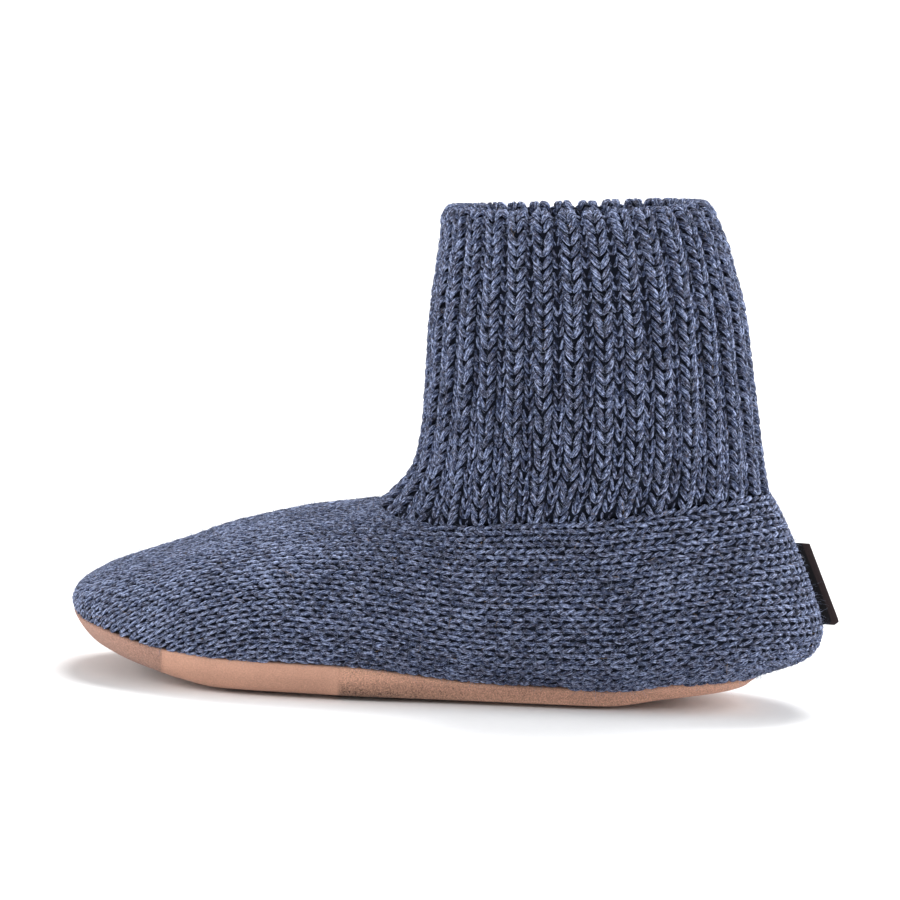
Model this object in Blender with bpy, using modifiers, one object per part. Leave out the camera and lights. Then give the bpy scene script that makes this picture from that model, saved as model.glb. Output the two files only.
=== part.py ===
"""Slipper sock for a left foot: a knitted foot, a ribbed shaft and a wrapped suede sole.

The toe points along -X, +Y is the inner side of the foot and the floor is Z = 0. The origin is
on the floor, at the middle of the flat spot under the heel. Sizes are in metres.
"""

from collections import namedtuple

import bmesh
import bpy
import numpy as np

# Driving sizes of the foot
FOOT_LENGTH = 0.272  # toe tip to the back of the heel
HEEL_REACH = 0.097  # origin to the back of the heel
BALL_WIDTH = 0.100
HEEL_WIDTH = 0.074
SEAM_HEIGHT = 0.0128  # sole to its seam with the knit, at the ball
SIDE_RISE = 0.020  # that seam to the widest line of the knit, at the heel
SEAM_INSET = 0.023  # how far the sole stops short of the back of the heel
INSTEP_HEIGHT = 0.067  # floor to the top of the foot where the shaft starts
RIDGE_SHIFT = 0.004  # highest line of the toes, towards the inner side
FOOT_WALL = 0.003

# Driving sizes of the sole and the insole
SOLE_THICKNESS = 0.0022
TOE_SPRING = 0.009
ARCH_RISE = 0.003
HEEL_RISE = 0.009
WRAP_WIDTH = 0.0115  # how far the sole's flat stops inside its seam, at the ball
INSOLE_THICKNESS = 0.003
INSOLE_CLEARANCE = 0.002  # inside the edge of the sole's flat

# Driving sizes of the shaft
SHAFT_MIDDLE = 0.0045  # origin to the middle of the shaft, towards the heel
SHAFT_DEPTH = 0.115  # front to back at half height
SHAFT_WIDTH = 0.075
ANKLE_BACK_HEIGHT = 0.078  # floor to the ankle seam, at the back
ANKLE_DIP = 0.0047  # how far that seam sags at the sides
ANKLE_SWAY = 0.0055  # how much more it sags ahead of the middle than behind it
FRONT_HEIGHT = 0.168  # floor to the edge of the rolled rim, at the front
BACK_HEIGHT = 0.1775
SHAFT_WALL = 0.0045
RIM_WALL = 0.0085
RIM_ROLL = 0.0045  # how far the rolled rim stands above its edge
RIB_COUNT = 32
RIB_HEIGHT = 0.0018

# Driving sizes of the heel tab
TAB_TOP = 0.060
TAB_LENGTH = 0.029
TAB_WIDTH = 0.0055
TAB_THICKNESS = 0.0014
TAB_CORNER = 0.0022

GAP = 0.0003  # between pieces that are sewn together
SEAM_GAP = 0.0008  # along the ankle seam, where two unlike facetings meet

# How finely the forms are cut
STATIONS = 36  # from the toe tip to the back of the heel, on each side
ANKLE_STATION = 13  # the station that ends at the front of the ankle seam
TURN_STEPS = (0.0, 0.07, 0.42, 0.75)
ARM_STEPS = (0.0, 0.14, 0.28, 0.42, 0.56, 0.70, 0.84, 0.95, 1.0)
WRAP_STEPS = (0.0, 0.3, 0.62, 0.93, 1.0)
CROSS_STEPS = (0.0, 0.25, 0.5, 0.75, 1.0)
OUTER_LEVELS = (0.0, 0.03, 0.08, 0.15, 0.24, 0.35, 0.48, 0.61, 0.74, 0.86, 0.95, 1.0)
INNER_LEVELS = (1.0, 0.82, 0.58, 0.32, 0.12, 0.0)
ROLL_TURNS = (45, 90, 135)
LOOP_SAMPLES = 720
PLAN_STEP = 1e-4  # step of a numeric slope, in shares of a curve
LEVEL_STEP = 0.01  # the same up the shaft
AROUND_STEP = 0.25 / LOOP_SAMPLES  # and round it
PROFILE_STEPS = 60
TAB_STEPS = 5
SEAM_HANDLE = 0.42  # how far the knit's curve holds its direction at the sole's seam
WRAP_HANDLE = 0.45  # the same for the sole's border

OUTER, INNER = -1, 1  # sides of the foot, as signs of Y

# How a curve runs through a table's rows: without overshooting them, the same with level ends so
# that both sides of the foot join smoothly, or as round as an outline
HELD, LEVEL, ROUND = "held", "level", "round"

# Plan of the widest line, from toe tip to heel, in shares of half the ball's or the heel's width
OutlineRow = namedtuple("OutlineRow", "share outer inner heelward")
OUTLINE = [
    OutlineRow(0.0, 0.00, 0.000, 0.0),
    OutlineRow(0.1, 0.47, 0.500, 0.0),
    OutlineRow(0.2, 0.77, 0.820, 0.0),
    OutlineRow(0.3, 0.96, 0.965, 0.0),
    OutlineRow(0.4, 1.00, 0.930, 0.1),
    OutlineRow(0.5, 1.00, 0.920, 0.5),
    OutlineRow(0.6, 1.03, 1.000, 0.9),
    OutlineRow(0.7, 1.01, 1.000, 1.0),
    OutlineRow(0.8, 0.93, 0.930, 1.0),
    OutlineRow(0.9, 0.57, 0.570, 1.0),
    OutlineRow(1.0, 0.00, 0.000, 1.0),
]

# Height of the sole's underside, in shares of the toe spring, the arch and the heel's rise
FloorRow = namedtuple("FloorRow", "share toe outer_arch inner_arch heel")
FLOOR = [
    FloorRow(0.00, 1.00, 0.00, 0.0, 0.00),
    FloorRow(0.10, 0.90, 0.00, 0.0, 0.00),
    FloorRow(0.20, 0.48, 0.00, 0.0, 0.00),
    FloorRow(0.25, 0.20, 0.00, 0.0, 0.00),
    FloorRow(0.30, 0.00, 0.00, 0.0, 0.00),
    FloorRow(0.39, 0.00, 0.00, 0.0, 0.00),
    FloorRow(0.47, 0.00, 0.35, 1.0, 0.00),
    FloorRow(0.55, 0.00, 0.00, 0.0, 0.00),
    FloorRow(0.64, 0.00, 0.00, 0.0, 0.00),
    FloorRow(0.70, 0.00, 0.00, 0.0, 0.35),
    FloorRow(0.80, 0.00, 0.00, 0.0, 0.80),
    FloorRow(0.90, 0.00, 0.00, 0.0, 0.95),
    FloorRow(1.00, 0.00, 0.00, 0.0, 1.00),
]

# The sole's seam: its height, its inset, the way the surface leaves it in degrees, the knit's rise
# above it to the widest line, and how far inside it the sole is flat
SeamRow = namedtuple("SeamRow", "share height inset turn rise flat")
SEAM = [
    SeamRow(0.0, 0.92, 0.045, 70, 0.175, 1.00),
    SeamRow(0.1, 0.86, 0.065, 70, 0.275, 1.00),
    SeamRow(0.2, 0.86, 0.090, 70, 0.45, 1.00),
    SeamRow(0.3, 1.00, 0.110, 68, 0.52, 1.00),
    SeamRow(0.4, 0.97, 0.150, 62, 0.60, 0.98),
    SeamRow(0.5, 0.62, 0.240, 52, 0.85, 0.80),
    SeamRow(0.6, 0.52, 0.350, 45, 1.05, 0.62),
    SeamRow(0.7, 0.46, 0.440, 40, 1.02, 0.66),
    SeamRow(0.8, 0.33, 0.640, 33, 0.95, 0.62),
    SeamRow(0.9, 0.22, 0.930, 27, 0.95, 0.46),
    SeamRow(1.0, 0.12, 1.000, 25, 0.95, 0.40),
]

# Top line of the toes and the vamp, from toe tip to ankle seam
VampRow = namedtuple("VampRow", "share height shift")
VAMP = [
    VampRow(0.092, 0.522, 0.0),
    VampRow(0.156, 0.576, 0.3),
    VampRow(0.220, 0.616, 0.5),
    VampRow(0.298, 0.662, 0.8),
    VampRow(0.404, 0.728, 1.0),
    VampRow(0.528, 0.811, 1.0),
    VampRow(0.665, 0.882, 0.8),
    VampRow(0.821, 0.949, 0.4),
    VampRow(1.000, 1.000, 0.0),
]

# Where the curves of the wall end: along the vamp ahead of the ankle station, and round half of
# the ankle seam behind it
TopRow = namedtuple("TopRow", "share place")
ALONG_VAMP = [TopRow(0.0, 0.092), TopRow(0.25, 0.155), TopRow(0.5, 0.32), TopRow(0.75, 0.62)]
ALONG_VAMP += [TopRow(1.0, 1.0)]
ROUND_ANKLE = [TopRow(0.0, 0.0), TopRow(0.14, 0.18), TopRow(0.3, 0.365), TopRow(0.53, 0.6)]
ROUND_ANKLE += [TopRow(0.77, 0.82), TopRow(1.0, 1.0)]

# The wall's curve from the widest line up: how far it holds each end's direction, and the lean of
# its top end in degrees, behind the vamp
ArmRow = namedtuple("ArmRow", "share lift reach lean")
ARMS = [
    ArmRow(0.00, 0.50, 0.42, 0),
    ArmRow(0.15, 0.56, 0.46, 0),
    ArmRow(0.28, 0.60, 0.46, 0),
    ArmRow(0.36, 0.58, 0.40, 0),
    ArmRow(0.42, 0.50, 0.36, 16),
    ArmRow(0.50, 0.42, 0.34, 60),
    ArmRow(0.60, 0.36, 0.34, 76),
    ArmRow(0.72, 0.34, 0.32, 78),
    ArmRow(0.86, 0.26, 0.26, 66),
    ArmRow(1.00, 0.10, 0.16, 42),
]

# Sections of the shaft from the ankle seam to the rim: height, reach ahead of and behind its
# middle, half width, how far the ankle's tilt and sag still show, how square the front is, and how
# late round the side its edge climbs to the back
ShaftRow = namedtuple("ShaftRow", "share height ahead behind side sag square climb")
SHAFT = [
    ShaftRow(0.00, 0.000, 1.226, 1.209, 0.987, 1.00, 3.0, 1.0),
    ShaftRow(0.06, 0.056, 1.130, 1.186, 0.985, 0.85, 2.8, 1.0),
    ShaftRow(0.12, 0.121, 1.052, 1.162, 0.980, 0.68, 2.6, 1.0),
    ShaftRow(0.20, 0.205, 1.014, 1.130, 0.980, 0.50, 2.4, 1.0),
    ShaftRow(0.32, 0.320, 1.000, 1.096, 0.985, 0.30, 2.3, 1.0),
    ShaftRow(0.47, 0.470, 1.000, 1.043, 1.000, 0.12, 2.2, 1.1),
    ShaftRow(0.63, 0.635, 1.000, 0.987, 1.000, 0.00, 2.2, 1.2),
    ShaftRow(0.80, 0.795, 0.983, 0.900, 0.985, 0.00, 2.2, 1.4),
    ShaftRow(0.93, 0.930, 0.965, 0.810, 0.965, 0.00, 2.2, 1.6),
    ShaftRow(1.00, 1.000, 0.957, 0.735, 0.945, 0.00, 2.2, 1.6),
]

# One rib round the shaft: where its corners stand in a rib's width, and how high
RibCorner = namedtuple("RibCorner", "place height")
RIB = [RibCorner(0.08, 0.0), RibCorner(0.20, 1.0), RibCorner(0.80, 1.0), RibCorner(0.92, 0.0)]

# How deep the grooves are at each share of the shaft's height, and how far its wall thickens to
# the rim's
WallRow = namedtuple("WallRow", "share rib thickening")
WALL = [
    WallRow(0.0, 0.50, 0.0),
    WallRow(0.2, 0.80, 0.0),
    WallRow(0.4, 1.00, 0.0),
    WallRow(0.7, 1.00, 0.0),
    WallRow(1.0, 1.00, 1.0),
]

KNIT_COLOUR = (0.077, 0.090, 0.147)
SUEDE_COLOUR = (0.45, 0.27, 0.20)
FELT_COLOUR = (0.20, 0.19, 0.19)
TAB_COLOUR = (0.035, 0.022, 0.022)


def held_slopes(x, y, level_ends):
    """Slopes through a table's rows with which its curve never overshoots them."""
    width = np.diff(x)
    secant = np.diff(y) / width
    before, after = secant[:-1], secant[1:]
    turning = before * after <= 0
    weight_before, weight_after = 2 * width[1:] + width[:-1], width[1:] + 2 * width[:-1]
    shares = weight_before / np.where(turning, 1.0, before)
    shares = shares + weight_after / np.where(turning, 1.0, after)
    inner = np.where(turning, 0.0, (weight_before + weight_after) / np.where(turning, 1.0, shares))
    if level_ends:
        return np.concatenate([[0.0], inner, [0.0]])
    first, last = 1.5 * secant[0] - 0.5 * inner[0], 1.5 * secant[-1] - 0.5 * inner[-1]
    return np.concatenate([[first], inner, [last]])


def smooth(rows, column, at, kind=HELD):
    """A table's column at the given shares, on a cubic through its rows."""
    x = np.array([row.share for row in rows])
    y = np.array([getattr(row, column) for row in rows], float)
    if kind == ROUND:
        slope = np.gradient(y, x, edge_order=2)
    else:
        slope = held_slopes(x, y, kind == LEVEL)
    at = np.asarray(at, float)
    i = np.clip(np.searchsorted(x, at, side="right") - 1, 0, len(x) - 2)
    width = np.diff(x)[i]
    t = (at - x[i]) / width
    lower = y[i] * (1 + 2 * t) * (1 - t) ** 2 + slope[i] * width * t * (1 - t) ** 2
    upper = y[i + 1] * t**2 * (3 - 2 * t) - slope[i + 1] * width * t**2 * (1 - t)
    return lower + upper


def unit(vectors):
    return vectors / np.linalg.norm(vectors, axis=-1, keepdims=True)


def stack(x, y, z):
    return np.stack(np.broadcast_arrays(x, y, z), axis=-1)


def bezier(ends, t):
    """Points at t on the cubics whose four control points are given."""
    start, start_handle, end_handle, end = ends
    keep = 1 - t
    near = start * keep**3 + start_handle * 3 * keep**2 * t
    return near + end_handle * 3 * keep * t**2 + end * t**3


UP = np.array([0.0, 0.0, 1.0])


def widest_plan(share, side):
    """The foot's widest line in plan, on one side."""
    x = HEEL_REACH - FOOT_LENGTH * (1 + np.cos(np.pi * share)) / 2
    heelward = smooth(OUTLINE, "heelward", share)
    half = (BALL_WIDTH * (1 - heelward) + HEEL_WIDTH * heelward) / 2
    column = "outer" if side == OUTER else "inner"
    return stack(x, side * half * smooth(OUTLINE, column, share, ROUND), 0.0)


def outward(share, side):
    """The level direction that points straight out of the foot's plan."""
    before = widest_plan(np.clip(share - PLAN_STEP, 0, 1), side)
    along = widest_plan(np.clip(share + PLAN_STEP, 0, 1), side) - before
    ends = (share <= 0) | (share >= 1)
    along[..., 0] = np.where(ends, 0.0, along[..., 0])
    return unit(stack(-side * along[..., 1], side * along[..., 0], 0.0))


def floor_height(share, side):
    """Height of the sole's underside at the edge of its flat."""
    arch = "outer_arch" if side == OUTER else "inner_arch"
    return (
        TOE_SPRING * smooth(FLOOR, "toe", share, LEVEL)
        + ARCH_RISE * smooth(FLOOR, arch, share)
        + HEEL_RISE * smooth(FLOOR, "heel", share, LEVEL)
    )


def seam_line(share, side):
    """The seam of sole and knit, and the direction in which the surface leaves it."""
    out = outward(share, side)
    inset = SEAM_INSET * smooth(SEAM, "inset", share, LEVEL)
    height = floor_height(share, side)
    height = height + SEAM_HEIGHT * smooth(SEAM, "height", share, LEVEL)
    turn = np.radians(smooth(SEAM, "turn", share, LEVEL))[..., None]
    point = widest_plan(share, side) - out * inset[..., None] + UP * height[..., None]
    return point, out * np.cos(turn) + UP * np.sin(turn)


def widest_line(share, side):
    rise = SIDE_RISE * smooth(SEAM, "rise", share, LEVEL)
    level = seam_line(share, side)[0][..., 2] + rise
    return widest_plan(share, side) + UP * level[..., None]


def flat_line(share, side):
    """The edge of the sole's flat, inside its wrapped border."""
    inset = WRAP_WIDTH * smooth(SEAM, "flat", share, LEVEL)
    point = seam_line(share, side)[0] - outward(share, side) * inset[..., None]
    point[..., 2] = floor_height(share, side)
    return point


def shaft_section(level):
    """A closed section of the shaft, sampled finely, from its front round the outer side."""
    turn = np.linspace(0, 2 * np.pi, LOOP_SAMPLES + 1)
    ahead, behind, side, square, height, sag, climb = (
        float(smooth(SHAFT, column, level))
        for column in ("ahead", "behind", "side", "square", "height", "sag", "climb")
    )
    forward = np.cos(turn)
    power = 2 / np.where(forward > 0, square, 2.0)
    reach = np.where(forward > 0, ahead, behind) * SHAFT_DEPTH / 2
    x = SHAFT_MIDDLE - reach * np.sign(forward) * np.abs(forward) ** power
    sideways = np.sin(turn)
    y = -SHAFT_WIDTH / 2 * side * np.sign(sideways) * np.abs(sideways) ** power
    front = INSTEP_HEIGHT + (FRONT_HEIGHT - INSTEP_HEIGHT) * height
    back = ANKLE_BACK_HEIGHT + (BACK_HEIGHT - ANKLE_BACK_HEIGHT) * height
    droop = ANKLE_DIP * sideways**2 + ANKLE_SWAY * np.abs(sideways) * forward
    z = front + (back - front) * ((1 - forward) / 2) ** climb - sag * droop
    return stack(x, y, z)


def shaft_line(level, around):
    """Points on a section, at shares of the way round it."""
    loop = shaft_section(level)
    steps = np.linalg.norm(np.diff(loop, axis=0), axis=1)
    travelled = np.concatenate([[0.0], np.cumsum(steps)])
    at = (np.asarray(around) % 1.0) * travelled[-1]
    return np.stack([np.interp(at, travelled, loop[:, axis]) for axis in range(3)], axis=-1)


def shaft_frame(level, around):
    """Points on the shaft's surface between its ribs, with its upward and outward directions."""
    low = shaft_line(max(level - LEVEL_STEP, 0.0), around)
    high = shaft_line(min(level + LEVEL_STEP, 1.0), around)
    ahead = shaft_line(level, np.asarray(around) + AROUND_STEP)
    along = ahead - shaft_line(level, np.asarray(around) - AROUND_STEP)
    rise = unit(high - low)
    out = unit(np.cross(rise, along))
    middle = np.array([SHAFT_MIDDLE, 0.0, 0.0])
    point = shaft_line(level, around)
    facing = np.sum((point - middle)[..., :2] * out[..., :2], axis=-1, keepdims=True)
    return point, rise, out * np.sign(facing)


def vamp_line(share):
    """The top line of the foot, from the toes to the ankle seam."""
    toe = HEEL_REACH - FOOT_LENGTH
    ankle = SHAFT_MIDDLE - SHAFT[0].ahead * SHAFT_DEPTH / 2
    height = INSTEP_HEIGHT * smooth(VAMP, "height", share)
    return stack(toe + (ankle - toe) * share, RIDGE_SHIFT * smooth(VAMP, "shift", share), height)


def arm_tops(share, side):
    """Where the wall's curves end, and how steeply the vamp climbs there."""
    ankle = ANKLE_STATION / STATIONS
    place = smooth(ALONG_VAMP, "place", np.clip(share / ankle, 0, 1))
    half_way = smooth(ROUND_ANKLE, "place", np.clip((share - ankle) / (1 - ankle), 0, 1)) / 2
    seam = shaft_line(0.0, half_way if side == OUTER else 1 - half_way)
    tops = np.where((share < ankle)[..., None], vamp_line(place), seam)
    step = vamp_line(np.clip(place + PLAN_STEP, VAMP[0].share, 1))
    step = step - vamp_line(np.clip(place - PLAN_STEP, VAMP[0].share, 1))
    return tops, step[..., 2] / step[..., 0]


def foot_arms(share, side):
    """The four control points of each curve from the widest line to the top."""
    base = widest_line(share, side)
    top, slope = arm_tops(share, side)
    level_way = (base - top) * np.array([1.0, 1.0, 0.0])
    way = unit(level_way)
    vamp_lean = np.arctan(-slope * way[..., 0])
    lean = np.maximum(vamp_lean, np.radians(smooth(ARMS, "lean", share)))[..., None]
    lift = (smooth(ARMS, "lift", share) * (top - base)[..., 2])[..., None]
    reach = smooth(ARMS, "reach", share) * np.linalg.norm(top - base, axis=-1)
    end_handle = top + (way * np.cos(lean) - UP * np.sin(lean)) * reach[..., None]
    return base, base + UP * lift, end_handle, top


def station_shares():
    return np.linspace(0, 1, STATIONS + 1)


def both_sides(line, *extra):
    """A line evaluated round the whole foot: out along the outer side and back along the inner."""
    share = station_shares()
    outer, inner = line(share, OUTER, *extra), line(share, INNER, *extra)
    return np.concatenate([outer, inner[-2:0:-1]])


def foot_row(share, side, part, t):
    """One row of the foot's surface: part 0 turns out from the seam, part 1 climbs to the top."""
    seam, leave = seam_line(share, side)
    base = widest_line(share, side)
    if part == 0:
        span = np.linalg.norm(base - seam, axis=-1, keepdims=True) * SEAM_HANDLE
        return bezier((seam, seam + leave * span, base - UP * span, base), t)
    return bezier(foot_arms(share, side), t)


def wrap_row(share, side, t):
    """One row of the sole's border, from the edge of its flat to the seam."""
    seam, leave = seam_line(share, side)
    edge = flat_line(share, side)
    top = seam - leave * GAP
    span = np.linalg.norm(top - edge, axis=-1, keepdims=True) * WRAP_HANDLE
    return bezier((edge, edge + outward(share, side) * span, top - leave * span, top), t)


def add_ring_faces(faces, first, second):
    """Four-sided faces between two rings of point numbers."""
    for i in range(len(first)):
        j = (i + 1) % len(first)
        faces.append((first[i], first[j], second[j], second[i]))


def new_object(name, points, faces, material):
    """A named mesh object with its doubled points made one."""
    mesh = bpy.data.meshes.new(name)
    mesh.from_pydata([tuple(point) for point in points], [], faces)
    shape = bmesh.new()
    shape.from_mesh(mesh)
    bmesh.ops.remove_doubles(shape, verts=shape.verts, dist=1e-6)
    bmesh.ops.dissolve_degenerate(shape, edges=shape.edges, dist=1e-7)
    shape.to_mesh(mesh)
    shape.free()
    mesh.shade_smooth()
    mesh.materials.append(material)
    piece = bpy.data.objects.new(name, mesh)
    bpy.data.collections["slipper_sock"].objects.link(piece)
    return piece


def thicken(piece, thickness, offset):
    """Gives an open surface its wall."""
    shell = piece.modifiers.new("wall", "SOLIDIFY")
    shell.thickness = thickness
    shell.offset = offset
    shell.use_even_offset = True
    shell.use_quality_normals = True
    return piece


def new_material(name, colour, roughness):
    material = bpy.data.materials.new(name)
    material.use_nodes = True
    shader = material.node_tree.nodes["Principled BSDF"]
    shader.inputs["Base Color"].default_value = (*colour, 1.0)
    shader.inputs["Roughness"].default_value = roughness
    shader.inputs["Metallic"].default_value = 0.0
    return material


def build_foot_upper(material):
    """The knitted foot, open under the foot and at the ankle."""
    rows = [both_sides(foot_row, 0, t) for t in TURN_STEPS]
    rows += [both_sides(foot_row, 1, t) for t in ARM_STEPS]
    count = len(rows[0])
    numbers = [np.arange(count) + count * k for k in range(len(rows))]
    faces = []
    for low, high in zip(numbers, numbers[1:]):
        add_ring_faces(faces, low, high)
    piece = new_object("foot_upper", np.concatenate(rows), faces, material)
    return thicken(piece, FOOT_WALL, -1.0)


def ladder(edge, cross_steps):
    """Points and faces of a sheet that spans a ring from its outer side to its inner side."""
    points, rungs = [], []
    for i in range(STATIONS + 1):
        outer, inner = edge[i], edge[-i % len(edge)]
        start = len(points)
        if i in (0, STATIONS):
            points.append(outer)
            rungs.append([start] * len(cross_steps))
            continue
        points += [outer + (inner - outer) * step for step in cross_steps]
        rungs.append(list(range(start, start + len(cross_steps))))
    faces = []
    for ahead, behind in zip(rungs, rungs[1:]):
        for k in range(len(cross_steps) - 1):
            corners = (ahead[k], ahead[k + 1], behind[k + 1], behind[k])
            faces.append(tuple(dict.fromkeys(corners)))
    return points, faces


def build_sole(material):
    """The suede sole: flat under heel and ball, with its border wrapped up to the seam."""
    rows = [both_sides(wrap_row, t) for t in WRAP_STEPS]
    count = len(rows[0])
    points, faces = ladder(rows[0], CROSS_STEPS)
    first = len(points)
    numbers = [np.arange(count) + first + count * k for k in range(len(rows))]
    points = np.concatenate([points, *rows])
    for low, high in zip(numbers, numbers[1:]):
        add_ring_faces(faces, low, high)
    piece = new_object("sole", points, faces, material)
    return thicken(piece, SOLE_THICKNESS, -1.0)


def insole_line(share, side):
    """The edge of the insole's underside, just inside the sole's flat."""
    inset = outward(share, side) * INSOLE_CLEARANCE
    return flat_line(share, side) - inset + UP * (SOLE_THICKNESS + GAP)


def build_insole(material):
    """The thin pad on the sole, over its flat."""
    edge = both_sides(insole_line)
    points, faces = ladder(edge, CROSS_STEPS)
    piece = new_object("insole", points, faces, material)
    return thicken(piece, INSOLE_THICKNESS, -1.0)


def rib_places():
    """Shares of the way round the shaft at which a rib has a corner, and its height there."""
    corners = [(rib + corner.place, corner.height) for rib in range(RIB_COUNT) for corner in RIB]
    places = np.array(corners)
    return places[:, 0] / RIB_COUNT, places[:, 1:]


def shaft_ring(level, outside):
    """A ring of the shaft's outer or inner face, at a share of its height."""
    around, rib = rib_places()
    point, rise, out = shaft_frame(level, around)
    lift = SEAM_GAP * max(0.0, 1 - level / OUTER_LEVELS[1])
    relief = RIB_HEIGHT * float(smooth(WALL, "rib", level))
    if outside:
        return point + rise * lift - out * (1 - rib) * relief
    wall = SHAFT_WALL + (RIM_WALL - SHAFT_WALL) * float(smooth(WALL, "thickening", level))
    return point + rise * lift - out * wall


def roll_rings():
    """The rolled rim, from the outer face over its crest to the inner face."""
    around, rib = rib_places()
    rise = shaft_frame(1.0, around)[1]
    outer, inner = shaft_ring(1.0, True), shaft_ring(1.0, False)
    crest = rise * (RIM_ROLL - RIB_HEIGHT / 2 * (1 - rib))
    middle, half = (outer + inner) / 2, (outer - inner) / 2
    turns = np.radians(ROLL_TURNS)
    return [middle + half * np.cos(turn) + crest * np.sin(turn) for turn in turns]


def build_ribbed_shaft(material):
    """The ribbed leg, as one closed wall: up its outer face, over the rim and down inside."""
    rings = [shaft_ring(level, True) for level in OUTER_LEVELS]
    rings += roll_rings()
    rings += [shaft_ring(level, False) for level in INNER_LEVELS]
    count = len(rings[0])
    numbers = [np.arange(count) + count * k for k in range(len(rings))]
    faces = []
    for low, high in zip(numbers, numbers[1:] + numbers[:1]):
        add_ring_faces(faces, low, high)
    return new_object("ribbed_shaft", np.concatenate(rings), faces, material)


def heel_profile(height):
    """How far back the knit reaches at a height, on the heel's middle line."""
    steps = np.linspace(0, 1, PROFILE_STEPS)[:, None]
    curve = bezier([end[None] for end in foot_arms(np.array(1.0), OUTER)], steps)
    return np.interp(height, curve[:, 2], curve[:, 0])


def build_heel_tab(material):
    """The folded tab in the back seam, standing straight out behind the heel."""
    bottom = TAB_TOP - TAB_LENGTH
    heights = np.linspace(TAB_TOP, bottom, TAB_STEPS)
    inner = [(float(heel_profile(z)) + GAP, z) for z in heights]
    corner = np.array([inner[-1][0] + TAB_WIDTH - TAB_CORNER, bottom + TAB_CORNER])
    turns = np.radians(np.linspace(-90, 0, TAB_STEPS))
    rounded = [tuple(corner + TAB_CORNER * np.array([np.cos(a), np.sin(a)])) for a in turns]
    outer = [(inner[0][0] + TAB_WIDTH, TAB_TOP)]
    outline = inner + rounded + outer
    curve = bpy.data.curves.new("heel_tab", "CURVE")
    curve.dimensions = "2D"
    curve.fill_mode = "BOTH"
    curve.extrude = TAB_THICKNESS / 2
    line = curve.splines.new("POLY")
    line.points.add(len(outline) - 1)
    for point, (x, z) in zip(line.points, outline):
        point.co = (x, z, 0.0, 1.0)
    line.use_cyclic_u = True
    curve.materials.append(material)
    piece = bpy.data.objects.new("heel_tab", curve)
    piece.rotation_euler = (np.pi / 2, 0.0, 0.0)
    bpy.data.collections["slipper_sock"].objects.link(piece)
    return piece


def main():
    for item in list(bpy.data.objects):
        bpy.data.objects.remove(item)
    collection = bpy.data.collections.new("slipper_sock")
    bpy.context.scene.collection.children.link(collection)
    knit = new_material("heathered_knit", KNIT_COLOUR, 0.95)
    rib = new_material("ribbed_knit", KNIT_COLOUR, 0.95)
    suede = new_material("suede", SUEDE_COLOUR, 0.9)
    felt = new_material("felt", FELT_COLOUR, 0.95)
    woven = new_material("woven_tab", TAB_COLOUR, 0.8)
    build_foot_upper(knit)
    build_ribbed_shaft(rib)
    build_sole(suede)
    build_insole(felt)
    build_heel_tab(woven)


main()
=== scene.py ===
"""Looks of a knitted slipper sock: heathered stitches, ribbed shaft, suede sole and a bare tab.

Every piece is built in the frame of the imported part: the toe points along -X, +Y is the inner
side of the foot and the floor is Z = 0. Sizes are in metres.
"""

from __future__ import annotations

import logging
import math
from dataclasses import dataclass, field
from enum import Enum

import bpy
import numpy as np
from mathutils import Matrix, Vector


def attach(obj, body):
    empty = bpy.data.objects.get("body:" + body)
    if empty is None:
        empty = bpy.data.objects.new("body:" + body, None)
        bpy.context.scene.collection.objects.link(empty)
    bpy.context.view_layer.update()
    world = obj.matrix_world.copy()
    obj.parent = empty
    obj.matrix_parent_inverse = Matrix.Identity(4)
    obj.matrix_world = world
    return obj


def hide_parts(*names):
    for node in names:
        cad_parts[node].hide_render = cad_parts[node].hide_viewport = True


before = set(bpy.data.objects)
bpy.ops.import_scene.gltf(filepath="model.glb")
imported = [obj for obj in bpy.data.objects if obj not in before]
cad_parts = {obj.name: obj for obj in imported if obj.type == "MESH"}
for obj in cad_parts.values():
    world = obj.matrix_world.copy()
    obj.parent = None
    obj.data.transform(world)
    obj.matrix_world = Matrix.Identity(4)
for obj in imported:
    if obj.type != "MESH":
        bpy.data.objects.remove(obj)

LOG = logging.getLogger("slipper_sock")
UP = np.array([0.0, 0.0, 1.0])
MM = 1000
SHORT_OF_END = 1.000001
BLACK, WHITE = (0.0, 0.0, 0.0), (1.0, 1.0, 1.0)
Array = np.ndarray
Colour = tuple[float, float, float]


class Side(Enum):
    """A side of the foot, as the sign of Y."""

    OUTER = -1
    INNER = 1


class Fit(Enum):
    """How a curve runs through a table's rows."""

    HELD = "held"
    LEVEL = "level"
    ROUND = "round"


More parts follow.
